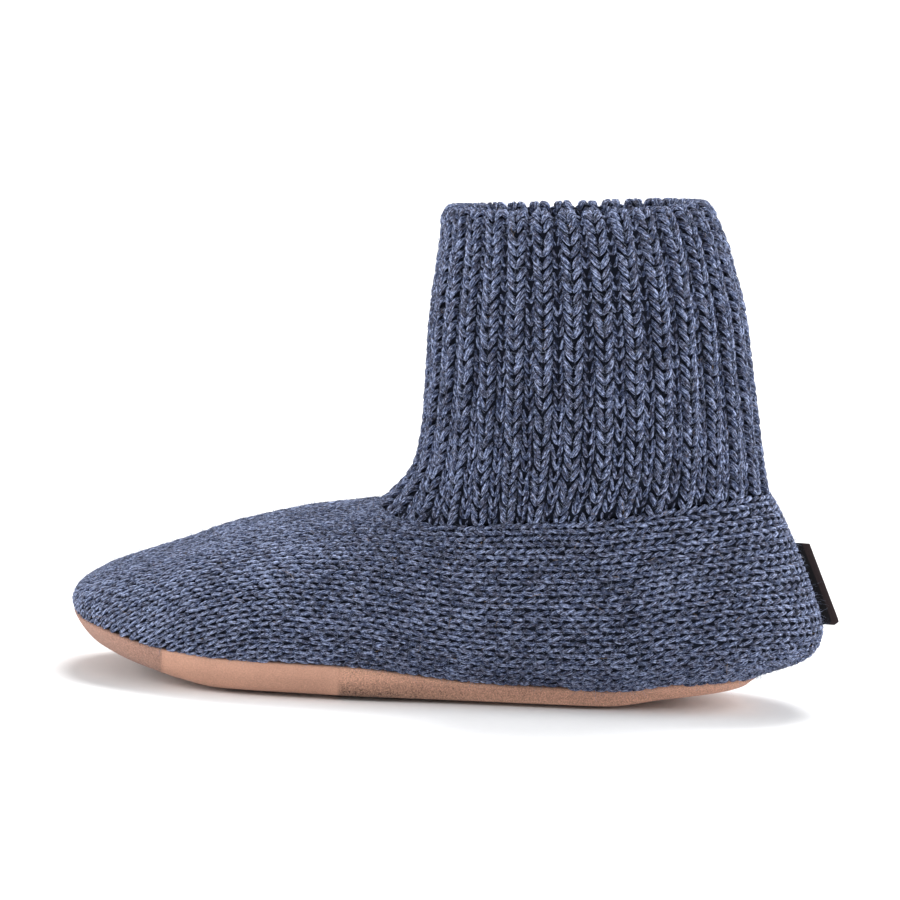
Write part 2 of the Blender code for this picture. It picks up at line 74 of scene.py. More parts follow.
@dataclass(frozen=True)
class Table:
    """A short table of a form: one row for each section, with named columns."""

    columns: str
    rows: tuple[tuple[float, ...], ...]

    def column(self, name: str) -> Array:
        """One column's values."""
        return np.array([row[self.columns.split().index(name)] for row in self.rows], float)

    def slopes(self, x: Array, y: Array, fit: Fit) -> Array:
        """Slopes with which the curve passes through its rows.

        Args:
            x: The rows' shares.
            y: The rows' values.
            fit: How the curve runs through them.

        Returns:
            A slope for each row.
        """
        if fit is Fit.ROUND:
            return np.gradient(y, x, edge_order=2)
        width = np.diff(x)
        secant = np.diff(y) / width
        before, after = secant[:-1], secant[1:]
        turning = before * after <= 0
        near, far = 2 * width[1:] + width[:-1], width[1:] + 2 * width[:-1]
        shares = near / np.where(turning, 1.0, before) + far / np.where(turning, 1.0, after)
        inner = np.where(turning, 0.0, (near + far) / np.where(turning, 1.0, shares))
        ends = (0.0, 0.0)
        if fit is Fit.HELD:
            ends = (1.5 * secant[0] - 0.5 * inner[0], 1.5 * secant[-1] - 0.5 * inner[-1])
        return np.concatenate([[ends[0]], inner, [ends[1]]])

    def at(self, name: str, share: Array, fit: Fit = Fit.HELD) -> Array:
        """A column at the given shares, on a cubic through its rows.

        Args:
            name: The column.
            share: Where to read it, in the table's own shares.
            fit: How the curve runs through the rows.

        Returns:
            The values there.
        """
        x, y = self.column("share"), self.column(name)
        slope = self.slopes(x, y, fit)
        share = np.asarray(share, float)
        i = np.clip(np.searchsorted(x, share, side="right") - 1, 0, len(x) - 2)
        width = np.diff(x)[i]
        t = (share - x[i]) / width
        lower = y[i] * (1 + 2 * t) * (1 - t) ** 2 + slope[i] * width * t * (1 - t) ** 2
        return lower + y[i + 1] * t**2 * (3 - 2 * t) - slope[i + 1] * width * t**2 * (1 - t)


@dataclass(frozen=True)
class Run:
    """A value that changes in straight steps, as pairs of a place and the value there."""

    pairs: tuple[tuple[float, float], ...]

    def at(self, place: Array) -> Array:
        """The value at a place."""
        return np.interp(place, *np.array(self.pairs, float).T)


def unit(vectors: Array) -> Array:
    """The vectors at length one."""
    return vectors / np.maximum(np.linalg.norm(vectors, axis=-1, keepdims=True), 1e-12)


def stack(x: Array | float, y: Array | float, z: Array | float) -> Array:
    """Points from their three coordinates."""
    return np.stack(np.broadcast_arrays(x, y, z), axis=-1)


def bezier(ends: tuple[Array, Array, Array, Array], t: Array | float) -> Array:
    """Points at t on the cubics whose four control points are given.

    Args:
        ends: The control points: start, its handle, the end's handle and the end.
        t: How far along the cubics, from 0 to 1.

    Returns:
        The points.
    """
    start, first, second, end = ends
    keep = 1 - t
    return start * keep**3 + first * 3 * keep**2 * t + second * 3 * keep * t**2 + end * t**3


@dataclass(frozen=True)
class Cloth:
    """A sheet of fabric sampled on a grid of rows and columns, with its outward normals."""

    points: Array
    normals: Array

    @classmethod
    def of(cls, points: Array, ring: bool = False) -> Cloth:
        """The sheet through a grid of points.

        Args:
            points: The grid, rows by columns by three.
            ring: Whether the last column is the first again.

        Returns:
            The sheet with its normals, which point where rows crossed with columns do.
        """
        along = np.gradient(points, axis=0)
        across = np.gradient(points, axis=1)
        if ring:
            across[:, 0] = across[:, -1] = points[:, 1] - points[:, -2]
        return cls(points, unit(np.cross(along, across)))

    def at(self, row: Array, column: Array) -> tuple[Array, Array]:
        """Points and normals between the grid's own.

        Args:
            row: Row numbers, which need not be whole.
            column: Column numbers, the same.

        Returns:
            The points and the normals there.
        """
        rows, columns = self.points.shape[:2]
        row = np.clip(row, 0, rows - SHORT_OF_END)
        column = np.clip(column, 0, columns - SHORT_OF_END)
        i, j = row.astype(int), column.astype(int)
        u, v = (row - i)[..., None], (column - j)[..., None]
        found = []
        for grid in (self.points, self.normals):
            low = grid[i, j] * (1 - v) + grid[i, j + 1] * v
            high = grid[i + 1, j] * (1 - v) + grid[i + 1, j + 1] * v
            found.append(low * (1 - u) + high * u)
        return found[0], unit(found[1])


@dataclass(frozen=True)
class ShaftForm:
    """The shaft's outer surface, from the ankle seam to the rolled rim."""

    middle: float = 0.0045
    depth: float = 0.115
    width: float = 0.075
    instep_height: float = 0.067
    ankle_back_height: float = 0.078
    ankle_dip: float = 0.0047
    ankle_sway: float = 0.0055
    front_height: float = 0.168
    back_height: float = 0.1775
    wall: float = 0.0045
    rim_wall: float = 0.0085
    rim_roll: float = 0.0045
    ribs: int = 32
    samples: int = 720
    sections: Table = Table(
        "share height ahead behind side sag square climb",
        (
            (0.00, 0.000, 1.226, 1.209, 0.987, 1.00, 3.0, 1.0),
            (0.06, 0.056, 1.130, 1.186, 0.985, 0.85, 2.8, 1.0),
            (0.12, 0.121, 1.052, 1.162, 0.980, 0.68, 2.6, 1.0),
            (0.20, 0.205, 1.014, 1.130, 0.980, 0.50, 2.4, 1.0),
            (0.32, 0.320, 1.000, 1.096, 0.985, 0.30, 2.3, 1.0),
            (0.47, 0.470, 1.000, 1.043, 1.000, 0.12, 2.2, 1.1),
            (0.63, 0.635, 1.000, 0.987, 1.000, 0.00, 2.2, 1.2),
            (0.80, 0.795, 0.983, 0.900, 0.985, 0.00, 2.2, 1.4),
            (0.93, 0.930, 0.965, 0.810, 0.965, 0.00, 2.2, 1.6),
            (1.00, 1.000, 0.957, 0.735, 0.945, 0.00, 2.2, 1.6),
        ),
    )
    thickening: Table = Table("share wall", ((0.0, 0.0), (0.4, 0.0), (0.7, 0.0), (1.0, 1.0)))

    def section(self, level: float) -> Array:
        """A closed section, sampled finely, from its front round the outer side.

        Args:
            level: How far up the shaft, from the ankle seam at 0 to the rim at 1.

        Returns:
            The section's points, the first again at the end.
        """
        turn = np.linspace(0, 2 * np.pi, self.samples + 1)
        names = ("ahead", "behind", "side", "square", "height", "sag", "climb")
        ahead, behind, side, square, height, sag, climb = (
            float(self.sections.at(name, level)) for name in names
        )
        forward, sideways = np.cos(turn), np.sin(turn)
        power = 2 / np.where(forward > 0, square, 2.0)
        reach = np.where(forward > 0, ahead, behind) * self.depth / 2
        x = self.middle - reach * np.sign(forward) * np.abs(forward) ** power
        y = -self.width / 2 * side * np.sign(sideways) * np.abs(sideways) ** power
        front = self.instep_height + (self.front_height - self.instep_height) * height
        back = self.ankle_back_height + (self.back_height - self.ankle_back_height) * height
        droop = self.ankle_dip * sideways**2 + self.ankle_sway * np.abs(sideways) * forward
        return stack(x, y, front + (back - front) * ((1 - forward) / 2) ** climb - sag * droop)

    def line(self, level: float, around: Array) -> Array:
        """Points on a section, at shares of the way round it.

        Args:
            level: How far up the shaft, from the ankle seam at 0 to the rim at 1.
            around: The shares.

        Returns:
            The points.
        """
        loop = self.section(level)
        steps = np.linalg.norm(np.diff(loop, axis=0), axis=1)
        travelled = np.concatenate([[0.0], np.cumsum(steps)])
        at = (np.asarray(around) % 1.0) * travelled[-1]
        return np.stack([np.interp(at, travelled, loop[:, axis]) for axis in range(3)], axis=-1)

    def rings(self, count: int, columns: int) -> tuple[list[Array], list[Array], list[Array]]:
        """Rings up the outer face, with the way up and the way out at each point.

        Args:
            count: How many rings.
            columns: How many points round each, the first again at the end.

        Returns:
            The rings, their upward directions and their outward directions.
        """
        around = np.linspace(0, 1, columns)
        around[-1] = 0.0
        points = np.array([self.line(level, around) for level in np.linspace(0, 1, count)])
        rise = unit(np.gradient(points, axis=0))
        along = np.gradient(points, axis=1)
        along[:, 0] = along[:, -1] = points[:, 1] - points[:, -2]
        out = unit(np.cross(rise, along))
        facing = np.sum((points - [self.middle, 0, 0])[..., :2] * out[..., :2], axis=-1)
        out = out * np.sign(facing)[..., None]
        return list(points), list(rise), list(out)

    def sleeve(self, outer: int = 90, roll: int = 13, inner: int = 70, columns: int = 641) -> Cloth:
        """The crest surface of the knit: up outside, over the rim and down inside.

        Args:
            outer: Rings up the outer face.
            roll: Rings over the rolled rim.
            inner: Rings down the inner face.
            columns: Points round a ring, the first again at the end.

        Returns:
            The sheet, whose normals point out of the wall.
        """
        points, rise, out = self.rings(outer, columns)
        levels = np.linspace(0, 1, outer)
        extra = self.thickening.at("wall", levels)
        wall = self.wall + (self.rim_wall - self.wall) * extra
        faces = [p - o * w for p, o, w in zip(points, out, wall)]
        middle, half = (points[-1] + faces[-1]) / 2, (points[-1] - faces[-1]) / 2
        turns = np.linspace(0, np.pi, roll + 2)[1:-1]
        over = [
            middle + half * np.cos(turn) + rise[-1] * self.rim_roll * np.sin(turn) for turn in turns
        ]
        picked = np.linspace(outer - 1, 0, inner).round().astype(int)
        grid = np.array(points + over + [faces[i] for i in picked])
        cloth = Cloth.of(grid, ring=True)
        sign = np.sign(np.sum(cloth.normals[0] * out[0]))
        return Cloth(cloth.points, cloth.normals * sign)


@dataclass(frozen=True)
class FootForm:
    """The foot's outer surface and the lines that its pieces share."""

    length: float = 0.272
    heel_reach: float = 0.097
    ball_width: float = 0.100
    heel_width: float = 0.074
    seam_height: float = 0.0128
    side_rise: float = 0.020
    seam_inset: float = 0.023
    instep_height: float = 0.067
    ridge_shift: float = 0.004
    toe_spring: float = 0.009
    arch_rise: float = 0.003
    heel_rise: float = 0.009
    wrap_width: float = 0.0115
    seam_handle: float = 0.42
    gap: float = 0.0003
    ankle_share: float = 13 / 36
    slope_step: float = 1e-4
    turn_steps: int = 24
    climb_steps: int = 120
    shaft: ShaftForm = field(default_factory=ShaftForm)
    outline: Table = Table(
        "share outer inner heelward",
        (
            (0.0, 0.00, 0.000, 0.0),
            (0.1, 0.47, 0.500, 0.0),
            (0.2, 0.77, 0.820, 0.0),
            (0.3, 0.96, 0.965, 0.0),
            (0.4, 1.00, 0.930, 0.1),
            (0.5, 1.00, 0.920, 0.5),
            (0.6, 1.03, 1.000, 0.9),
            (0.7, 1.01, 1.000, 1.0),
            (0.8, 0.93, 0.930, 1.0),
            (0.9, 0.57, 0.570, 1.0),
            (1.0, 0.00, 0.000, 1.0),
        ),
    )
    floor_rows: Table = Table(
        "share toe outer_arch inner_arch heel",
        (
            (0.00, 1.00, 0.00, 0.0, 0.00),
            (0.10, 0.90, 0.00, 0.0, 0.00),
            (0.20, 0.48, 0.00, 0.0, 0.00),
            (0.25, 0.20, 0.00, 0.0, 0.00),
            (0.30, 0.00, 0.00, 0.0, 0.00),
            (0.39, 0.00, 0.00, 0.0, 0.00),
            (0.47, 0.00, 0.35, 1.0, 0.00),
            (0.55, 0.00, 0.00, 0.0, 0.00),
            (0.64, 0.00, 0.00, 0.0, 0.00),
            (0.70, 0.00, 0.00, 0.0, 0.35),
            (0.80, 0.00, 0.00, 0.0, 0.80),
            (0.90, 0.00, 0.00, 0.0, 0.95),
            (1.00, 0.00, 0.00, 0.0, 1.00),
        ),
    )
    seam_rows: Table = Table(
        "share height inset turn rise flat",
        (
            (0.0, 0.92, 0.045, 70, 0.175, 1.00),
            (0.1, 0.86, 0.065, 70, 0.275, 1.00),
            (0.2, 0.86, 0.090, 70, 0.45, 1.00),
            (0.3, 1.00, 0.110, 68, 0.52, 1.00),
            (0.4, 0.97, 0.150, 62, 0.60, 0.98),
            (0.5, 0.62, 0.240, 52, 0.85, 0.80),
            (0.6, 0.52, 0.350, 45, 1.05, 0.62),
            (0.7, 0.46, 0.440, 40, 1.02, 0.66),
            (0.8, 0.33, 0.640, 33, 0.95, 0.62),
            (0.9, 0.22, 0.930, 27, 0.95, 0.46),
            (1.0, 0.12, 1.000, 25, 0.95, 0.40),
        ),
    )
    vamp: Table = Table(
        "share height shift",
        (
            (0.092, 0.522, 0.0),
            (0.156, 0.576, 0.3),
            (0.220, 0.616, 0.5),
            (0.298, 0.662, 0.8),
            (0.404, 0.728, 1.0),
            (0.528, 0.811, 1.0),
            (0.665, 0.882, 0.8),
            (0.821, 0.949, 0.4),
            (1.000, 1.000, 0.0),
        ),
    )
    along_vamp: Table = Table(
        "share place", ((0.0, 0.092), (0.25, 0.155), (0.5, 0.32), (0.75, 0.62), (1.0, 1.0))
    )
    round_ankle: Table = Table(
        "share place",
        ((0.0, 0.0), (0.14, 0.18), (0.3, 0.365), (0.53, 0.6), (0.77, 0.82), (1.0, 1.0)),
    )
    arms: Table = Table(
        "share lift reach lean",
        (
            (0.00, 0.50, 0.42, 0),
            (0.15, 0.56, 0.46, 0),
            (0.28, 0.60, 0.46, 0),
            (0.36, 0.58, 0.40, 0),
            (0.42, 0.50, 0.36, 16),
            (0.50, 0.42, 0.34, 60),
            (0.60, 0.36, 0.34, 76),
            (0.72, 0.34, 0.32, 78),
            (0.86, 0.26, 0.26, 66),
            (1.00, 0.10, 0.16, 42),
        ),
    )

    def widest_plan(self, share: Array, side: Side) -> Array:
        """The foot's widest line in plan, on one side.

        Args:
            share: Shares of the way from the toe tip to the back of the heel.
            side: The side of the foot.

        Returns:
            The points, at floor height.
        """
        x = self.heel_reach - self.length * (1 + np.cos(np.pi * share)) / 2
        heelward = self.outline.at("heelward", share)
        half = (self.ball_width * (1 - heelward) + self.heel_width * heelward) / 2
        reach = half * self.outline.at(side.name.lower(), share, Fit.ROUND)
        return stack(x, side.value * reach, 0.0)

    def outward(self, share: Array, side: Side) -> Array:
        """The level direction that points straight out of the foot's plan.

        Args:
            share: Shares of the way from the toe tip to the back of the heel.
            side: The side of the foot.

        Returns:
            The directions, of length one.
        """
        step = self.slope_step
        before = self.widest_plan(np.clip(share - step, 0, 1), side)
        along = self.widest_plan(np.clip(share + step, 0, 1), side) - before
        along[..., 0] = np.where((share <= 0) | (share >= 1), 0.0, along[..., 0])
        return unit(stack(-side.value * along[..., 1], side.value * along[..., 0], 0.0))

    def floor_height(self, share: Array, side: Side) -> Array:
        """Height of the sole's underside at the edge of its flat.

        Args:
            share: Shares of the way from the toe tip to the back of the heel.
            side: The side of the foot.

        Returns:
            The heights.
        """
        arch = side.name.lower() + "_arch"
        rise = self.toe_spring * self.floor_rows.at("toe", share, Fit.LEVEL)
        rise = rise + self.arch_rise * self.floor_rows.at(arch, share)
        return rise + self.heel_rise * self.floor_rows.at("heel", share, Fit.LEVEL)

    def seam(self, share: Array, side: Side) -> tuple[Array, Array]:
        """The seam of sole and knit, and the direction in which the surface leaves it.

        Args:
            share: Shares of the way from the toe tip to the back of the heel.
            side: The side of the foot.

        Returns:
            The seam's points and the directions.
        """
        out = self.outward(share, side)
        inset = self.seam_inset * self.seam_rows.at("inset", share, Fit.LEVEL)
        height = self.floor_height(share, side)
        height = height + self.seam_height * self.seam_rows.at("height", share, Fit.LEVEL)
        turn = np.radians(self.seam_rows.at("turn", share, Fit.LEVEL))[..., None]
        point = self.widest_plan(share, side) - out * inset[..., None] + UP * height[..., None]
        return point, out * np.cos(turn) + UP * np.sin(turn)

    def widest(self, share: Array, side: Side) -> Array:
        """The foot's widest line.

        Args:
            share: Shares of the way from the toe tip to the back of the heel.
            side: The side of the foot.

        Returns:
            The points.
        """
        rise = self.side_rise * self.seam_rows.at("rise", share, Fit.LEVEL)
        level = self.seam(share, side)[0][..., 2] + rise
        return self.widest_plan(share, side) + UP * level[..., None]

    def flat_edge(self, share: Array, side: Side) -> Array:
        """The edge of the sole's flat, inside its wrapped border.

        Args:
            share: Shares of the way from the toe tip to the back of the heel.
            side: The side of the foot.

        Returns:
            The points.
        """
        inset = self.wrap_width * self.seam_rows.at("flat", share, Fit.LEVEL)
        point = self.seam(share, side)[0] - self.outward(share, side) * inset[..., None]
        point[..., 2] = self.floor_height(share, side)
        return point

    def ridge(self, share: Array) -> Array:
        """The top line of the foot, from the toes to the ankle seam.

        Args:
            share: Shares of the way between them.

        Returns:
            The points.
        """
        toe = self.heel_reach - self.length
        ahead = self.shaft.sections.rows[0][2]
        ankle = self.shaft.middle - ahead * self.shaft.depth / 2
        height = self.instep_height * self.vamp.at("height", share)
        shift = self.ridge_shift * self.vamp.at("shift", share)
        return stack(toe + (ankle - toe) * share, shift, height)

    def wall(self, share: Array, side: Side) -> tuple[Array, Array, Array, Array]:
        """The four control points of each curve from the widest line to the top.

        Args:
            share: Shares of the way from the toe tip to the back of the heel.
            side: The side of the foot.

        Returns:
            The start, its handle, the end's handle and the end.
        """
        ahead = share < self.ankle_share
        place = self.along_vamp.at("place", np.clip(share / self.ankle_share, 0, 1))
        behind = np.clip((share - self.ankle_share) / (1 - self.ankle_share), 0, 1)
        half_way = self.round_ankle.at("place", behind) / 2
        seam = self.shaft.line(0.0, half_way if side is Side.OUTER else 1 - half_way)
        top = np.where(ahead[..., None], self.ridge(place), seam)
        low = self.vamp.rows[0][0]
        step = self.ridge(np.clip(place + self.slope_step, low, 1))
        step = step - self.ridge(np.clip(place - self.slope_step, low, 1))
        base = self.widest(share, side)
        way = unit((base - top) * np.array([1.0, 1.0, 0.0]))
        vamp_lean = np.arctan(-step[..., 2] / step[..., 0] * way[..., 0])
        lean = np.maximum(vamp_lean, np.radians(self.arms.at("lean", share)))[..., None]
        lift = (self.arms.at("lift", share) * (top - base)[..., 2])[..., None]
        reach = (self.arms.at("reach", share) * np.linalg.norm(top - base, axis=-1))[..., None]
        end_handle = top + (way * np.cos(lean) - UP * np.sin(lean)) * reach
        return base, base + UP * lift, end_handle, top

    def side_cloth(self, side: Side, rows: int = 301, columns: int = 121) -> tuple[Cloth, Array]:
        """One side's surface from the sole's seam to the top, evenly along each section.

        Args:
            side: The side of the foot.
            rows: Sections from the toe tip to the back of the heel.
            columns: Points up each section.

        Returns:
            The sheet with outward normals, and the length of each section.
        """
        share = np.linspace(0, 1, rows)
        seam, leave = self.seam(share, side)
        base = self.widest(share, side)
        span = np.linalg.norm(base - seam, axis=-1, keepdims=True) * self.seam_handle
        turn = (seam, seam + leave * span, base - UP * span, base)
        climb = self.wall(share, side)
        fine = [bezier(turn, t) for t in np.linspace(0, 1, self.turn_steps)[:-1]]
        fine += [bezier(climb, t) for t in np.linspace(0, 1, self.climb_steps)]
        curves = np.array(fine).transpose(1, 0, 2)
        steps = np.linalg.norm(np.diff(curves, axis=1), axis=-1)
        travelled = np.concatenate([np.zeros((rows, 1)), np.cumsum(steps, axis=1)], axis=1)
        even = np.empty((rows, columns, 3))
        for i in range(rows):
            at = np.linspace(0, travelled[i, -1], columns)
            for axis in range(3):
                even[i, :, axis] = np.interp(at, travelled[i], curves[i, :, axis])
        cloth = Cloth.of(even)
        middle = cloth.normals[rows // 2, columns // 3]
        sign = np.sign(middle[1] * side.value)
        return Cloth(cloth.points, cloth.normals * sign), travelled[:, -1]


@dataclass(frozen=True)
class Mesh:
    """Points and four-sided faces of a piece, with a value of three numbers at each point."""

    points: Array
    quads: Array
    marks: Array

    @classmethod
    def sheet(cls, points: Array, marks: Array, closed: bool = False) -> Mesh:
        """A grid's mesh.

        Args:
            points: The grid, rows by columns by three.
            marks: The value at each of its points.
            closed: Whether the last row joins the first again.

        Returns:
            The mesh, one face for each of the grid's cells.
        """
        rows, columns = points.shape[:2]
        number = np.arange(rows * columns).reshape(rows, columns)
        if closed:
            number = np.concatenate([number, number[:1]])
        corners = (number[:-1, :-1], number[:-1, 1:], number[1:, 1:], number[1:, :-1])
        quads = np.stack([corner.ravel() for corner in corners], axis=-1)
        return cls(points.reshape(-1, 3), quads, marks.reshape(-1, 3))

    @classmethod
    def joined(cls, parts: list[Mesh]) -> Mesh:
        """Several meshes as one.

        Args:
            parts: The meshes, in order.

        Returns:
            The mesh of them all.
        """
        starts = np.cumsum([0] + [len(part.points) for part in parts])
        quads = np.concatenate([part.quads + start for part, start in zip(parts, starts)])
        points = np.concatenate([part.points for part in parts])
        return cls(points, quads, np.concatenate([part.marks for part in parts]))

    def piece(self, name: str, materials: list[bpy.types.Material]) -> bpy.types.Object:
        """The mesh as a smooth-shaded object of the scene.

        Args:
            name: The object's name.
            materials: Its materials, of which the first covers every face.

        Returns:
            The object, with its values in the attribute named yarn.
        """
        mesh = bpy.data.meshes.new(name)
        mesh.vertices.add(len(self.points))
        mesh.vertices.foreach_set("co", self.points.astype(np.float32).ravel())
        mesh.loops.add(self.quads.size)
        mesh.loops.foreach_set("vertex_index", self.quads.astype(np.int32).ravel())
        mesh.polygons.add(len(self.quads))
        starts = np.arange(0, self.quads.size, 4, dtype=np.int32)
        mesh.polygons.foreach_set("loop_start", starts)
        mesh.update(calc_edges=True)
        layer = mesh.attributes.new("yarn", "FLOAT_VECTOR", "POINT")
        layer.data.foreach_set("vector", self.marks.astype(np.float32).ravel())
        mesh.shade_smooth()
        for material in materials:
            mesh.materials.append(material)
        piece = bpy.data.objects.new(name, mesh)
        bpy.context.scene.collection.objects.link(piece)
        return piece


def tubes(centres: Array, normals: Array, radius: Array, spread: Array, tones: Array) -> Mesh:
    """Tubes or half tubes swept along many paths at once.

    Args:
        centres: The paths, one in each row, by points by three.
        normals: The direction out of the fabric at each of those points.
        radius: The half thickness at each of those points.
        spread: Turns round the path, in radians from one edge, at which the tube has a line.
        tones: A random share for each path.

    Returns:
        The mesh. Its marks are the way along in millimetres, the way round and the path's tone.
    """
    along = unit(np.gradient(centres, axis=1))
    side = unit(np.cross(normals, along))
    out = np.cross(along, side)
    turn = spread[None, None, :, None]
    ring = side[:, :, None] * np.cos(turn) + out[:, :, None] * np.sin(turn)
    points = centres[:, :, None] + ring * radius[:, :, None, None]
    count, steps, lines = points.shape[:3]
    number = np.arange(count * steps * lines).reshape(count, steps, lines)
    corners = (
        number[:, :-1, :-1],
        number[:, 1:, :-1],
        number[:, 1:, 1:],
        number[:, :-1, 1:],
    )
    quads = np.stack([corner.ravel() for corner in corners], axis=-1)
    lengths = np.linalg.norm(np.diff(centres, axis=1), axis=-1)
    travelled = np.concatenate([np.zeros((count, 1)), np.cumsum(lengths, axis=1)], axis=1)
    marks = np.empty((count, steps, lines, 3))
    marks[..., 0] = (travelled * MM)[:, :, None]
    marks[..., 1] = np.linspace(0, 1, lines)
    marks[..., 2] = tones[:, None, None]
    return Mesh(points.reshape(-1, 3), quads, marks.reshape(-1, 3))


@dataclass(frozen=True)
class Stitch:
    """The path of one leg of a stitch, which its twin mirrors across the column."""

    path: Table
    steps: int = 7
    lines: int = 5
    half_turn: float = 100.0
    wander: float = 0.06
    swell: float = 0.10
    sway: float = 0.7
    ply_wander: float = 0.4
    deep_wander: float = 1.2
    plies: tuple[tuple[float, float, float], ...] = ((0.0, 0.0, 0.0),)

    def legs(self, place: FabricMap, course: Array, wale: Array, seed: int) -> Mesh:
        """Both legs of every stitch of a set.

        Args:
            place: Where a course and a column of stitches lie.
            course: Each stitch's course.
            wale: Each stitch's column.
            seed: Seed of the small differences between them.

        Returns:
            The legs' mesh.
        """
        chance = np.random.default_rng(seed)
        count = len(course) * 2
        drift = chance.normal(0, self.wander, (count, 3))
        parts = [self.ply(place, course, wale, drift, ply, chance) for ply in self.plies]
        return Mesh.joined(parts)

    def ply(
        self,
        place: FabricMap,
        course: Array,
        wale: Array,
        drift: Array,
        shift: tuple[float, float, float],
        chance: np.random.Generator,
    ) -> Mesh:
        """One of the strands that run side by side in every leg.

        Args:
            place: Where a course and a column of stitches lie.
            course: Each stitch's course.
            wale: Each stitch's column.
            drift: How far each leg strays.
            shift: The strand's place beside the leg's middle: along, across and deep.
            chance: Source of the small differences.

        Returns:
            The strands' mesh.
        """
        course, wale = np.repeat(course, 2), np.repeat(wale, 2)
        hand = np.tile([-1.0, 1.0], len(course) // 2)
        share = np.linspace(0, 1, self.steps)
        along, across, depth, width = (
            self.path.at(name, share) for name in ("along", "across", "depth", "width")
        )
        count = len(course)
        stray = drift + chance.normal(0, self.wander * self.ply_wander, (count, 3))
        at_course = course[:, None] + along + stray[:, :1] + shift[0]
        reach = across * place.breadth(at_course) + shift[1]
        at_wale = wale[:, None] + hand[:, None] * reach + stray[:, 1:2] * self.sway
        points, normals, room = place.at(at_course, at_wale)
        lift = depth + stray[:, 2:] * self.deep_wander + shift[2]
        points = points + normals * (lift * room)[..., None] / MM
        fat = width * (1 + chance.normal(0, self.swell, (count, 1))) * room / MM
        turns = np.radians(np.linspace(90 - self.half_turn, 90 + self.half_turn, self.lines))
        return tubes(points, normals, fat, turns, chance.random(count))


class FabricMap:
    """Where the stitches of a fabric lie on its surface."""

    def at(self, course: Array, wale: Array) -> tuple[Array, Array, Array]:
        """Points, normals and the local size of a stitch, at courses and columns of stitches.

        Args:
            course: Course numbers, which need not be whole.
            wale: Column numbers, the same.

        Returns:
            The points, the normals and the sizes against the usual one.
        """
        raise NotImplementedError

    def breadth(self, course: Array) -> Array:
        """How wide a stitch is at a course, against its usual width."""
        return np.ones_like(course)


@dataclass(frozen=True)
class FootMap(FabricMap):
    """The stitch columns of one side of the foot.

    Ahead of the ankle the columns follow the top line and the sole's seam cuts them; behind it
    they follow the sole's seam, and round the heel they fan out between seam and ankle.
    """

    cloth: Cloth
    lengths: Array
    course_pitch: float = 0.0042
    columns_ahead: float = 22.0
    heel_spread: float = 3.6
    toe_crowding: float = 0.14
    toe_power: float = 1.5
    heel_start: float = 0.54
    heel_lead: float = 0.06
    ankle_share: float = 13 / 36
    gauges: tuple[float, ...] = (0.3, 0.5, 0.75)
    tuck: float = 0.0014
    tuck_reach: float = 0.8
    first_course: float = 0.1
    last_margin: float = 0.4
    numbers: tuple[int, int] = (-5, 23)
    overlap: float = 0.3
    sizes: Run = Run(((0, 0.62), (0.05, 0.78), (0.14, 0.87), (0.32, 0.90), (0.42, 1)))

    def edges(self, share: Array) -> tuple[Array, Array]:
        """The stitch columns at the sole's seam and at the top edge, at shares of the foot.

        Args:
            share: Shares of the way from the toe tip to the back of the heel.

        Returns:
            The column numbers at the seam and at the top edge.
        """
        shares = np.linspace(0, 1, len(self.lengths))
        length = np.interp(share, shares, self.lengths)
        full = np.interp(self.ankle_share, shares, self.lengths)
        count = self.columns_ahead * length / full
        behind = np.clip((share - self.heel_start) / (1 - self.heel_start), 0, 1)
        ease = behind**2 * (3 - 2 * behind)
        toe = np.clip((self.ankle_share - share) / self.ankle_share, 0, 1)
        crowding = 1 - self.toe_crowding * toe**self.toe_power
        start = np.interp(self.heel_start - self.heel_lead, shares, self.lengths)
        base = np.round(self.columns_ahead * start / full)
        ahead = share < self.ankle_share
        late = share > self.heel_start - self.heel_lead
        low = np.where(ahead, self.columns_ahead - count / crowding, -self.heel_spread * ease)
        high = np.where(ahead, self.columns_ahead, np.where(late, base, np.maximum(count, base)))
        return low, high

    def course_table(self) -> tuple[Array, Array]:
        """Course numbers at the surface's grid rows.

        Returns:
            The course numbers, and the numbers of the rows.
        """
        columns = self.cloth.points.shape[1]
        travelled = 0.0
        for share in self.gauges:
            line = self.cloth.points[:, int(share * columns)]
            steps = np.linalg.norm(np.diff(line, axis=0), axis=1)
            travelled = travelled + np.concatenate([[0.0], np.cumsum(steps)]) / len(self.gauges)
        return travelled / self.course_pitch, np.arange(len(travelled), dtype=float)

    def at(self, course: Array, wale: Array) -> tuple[Array, Array, Array]:
        """Points, normals and the local size of a stitch, at courses and columns of stitches.

        Args:
            course: Course numbers, which need not be whole.
            wale: Column numbers, the same.

        Returns:
            The points, the normals and the sizes against the usual one.
        """
        courses, rows = self.course_table()
        row = np.interp(course, courses, rows)
        share = row / (len(rows) - 1)
        low, high = self.edges(share)
        column = (wale - low) / np.maximum(high - low, 1e-6)
        columns = self.cloth.points.shape[1] - 1
        inside = np.clip(column, 0, 1)
        points, normals = self.cloth.at(row, inside * columns)
        away = np.maximum(np.abs(column - inside) * (high - low), 0)
        points = points - normals * np.minimum(away, self.tuck_reach)[..., None] * self.tuck
        return points, normals, self.sizes.at(share)

    def stitches(self) -> tuple[Array, Array]:
        """Course and column of every stitch of this side.

        Returns:
            The courses and the columns.
        """
        courses, rows = self.course_table()
        columns = np.arange(*self.numbers) + 0.5
        course, wale = [], []
        for number in np.arange(self.first_course, courses[-1] - self.last_margin, 1.0):
            share = np.interp(number + 0.5, courses, rows) / (len(rows) - 1)
            low, high = self.edges(np.array(share))
            kept = columns[(columns > low - self.overlap) & (columns < high + self.overlap)]
            course += [number] * len(kept)
            wale += list(kept)
        return np.array(course), np.array(wale)


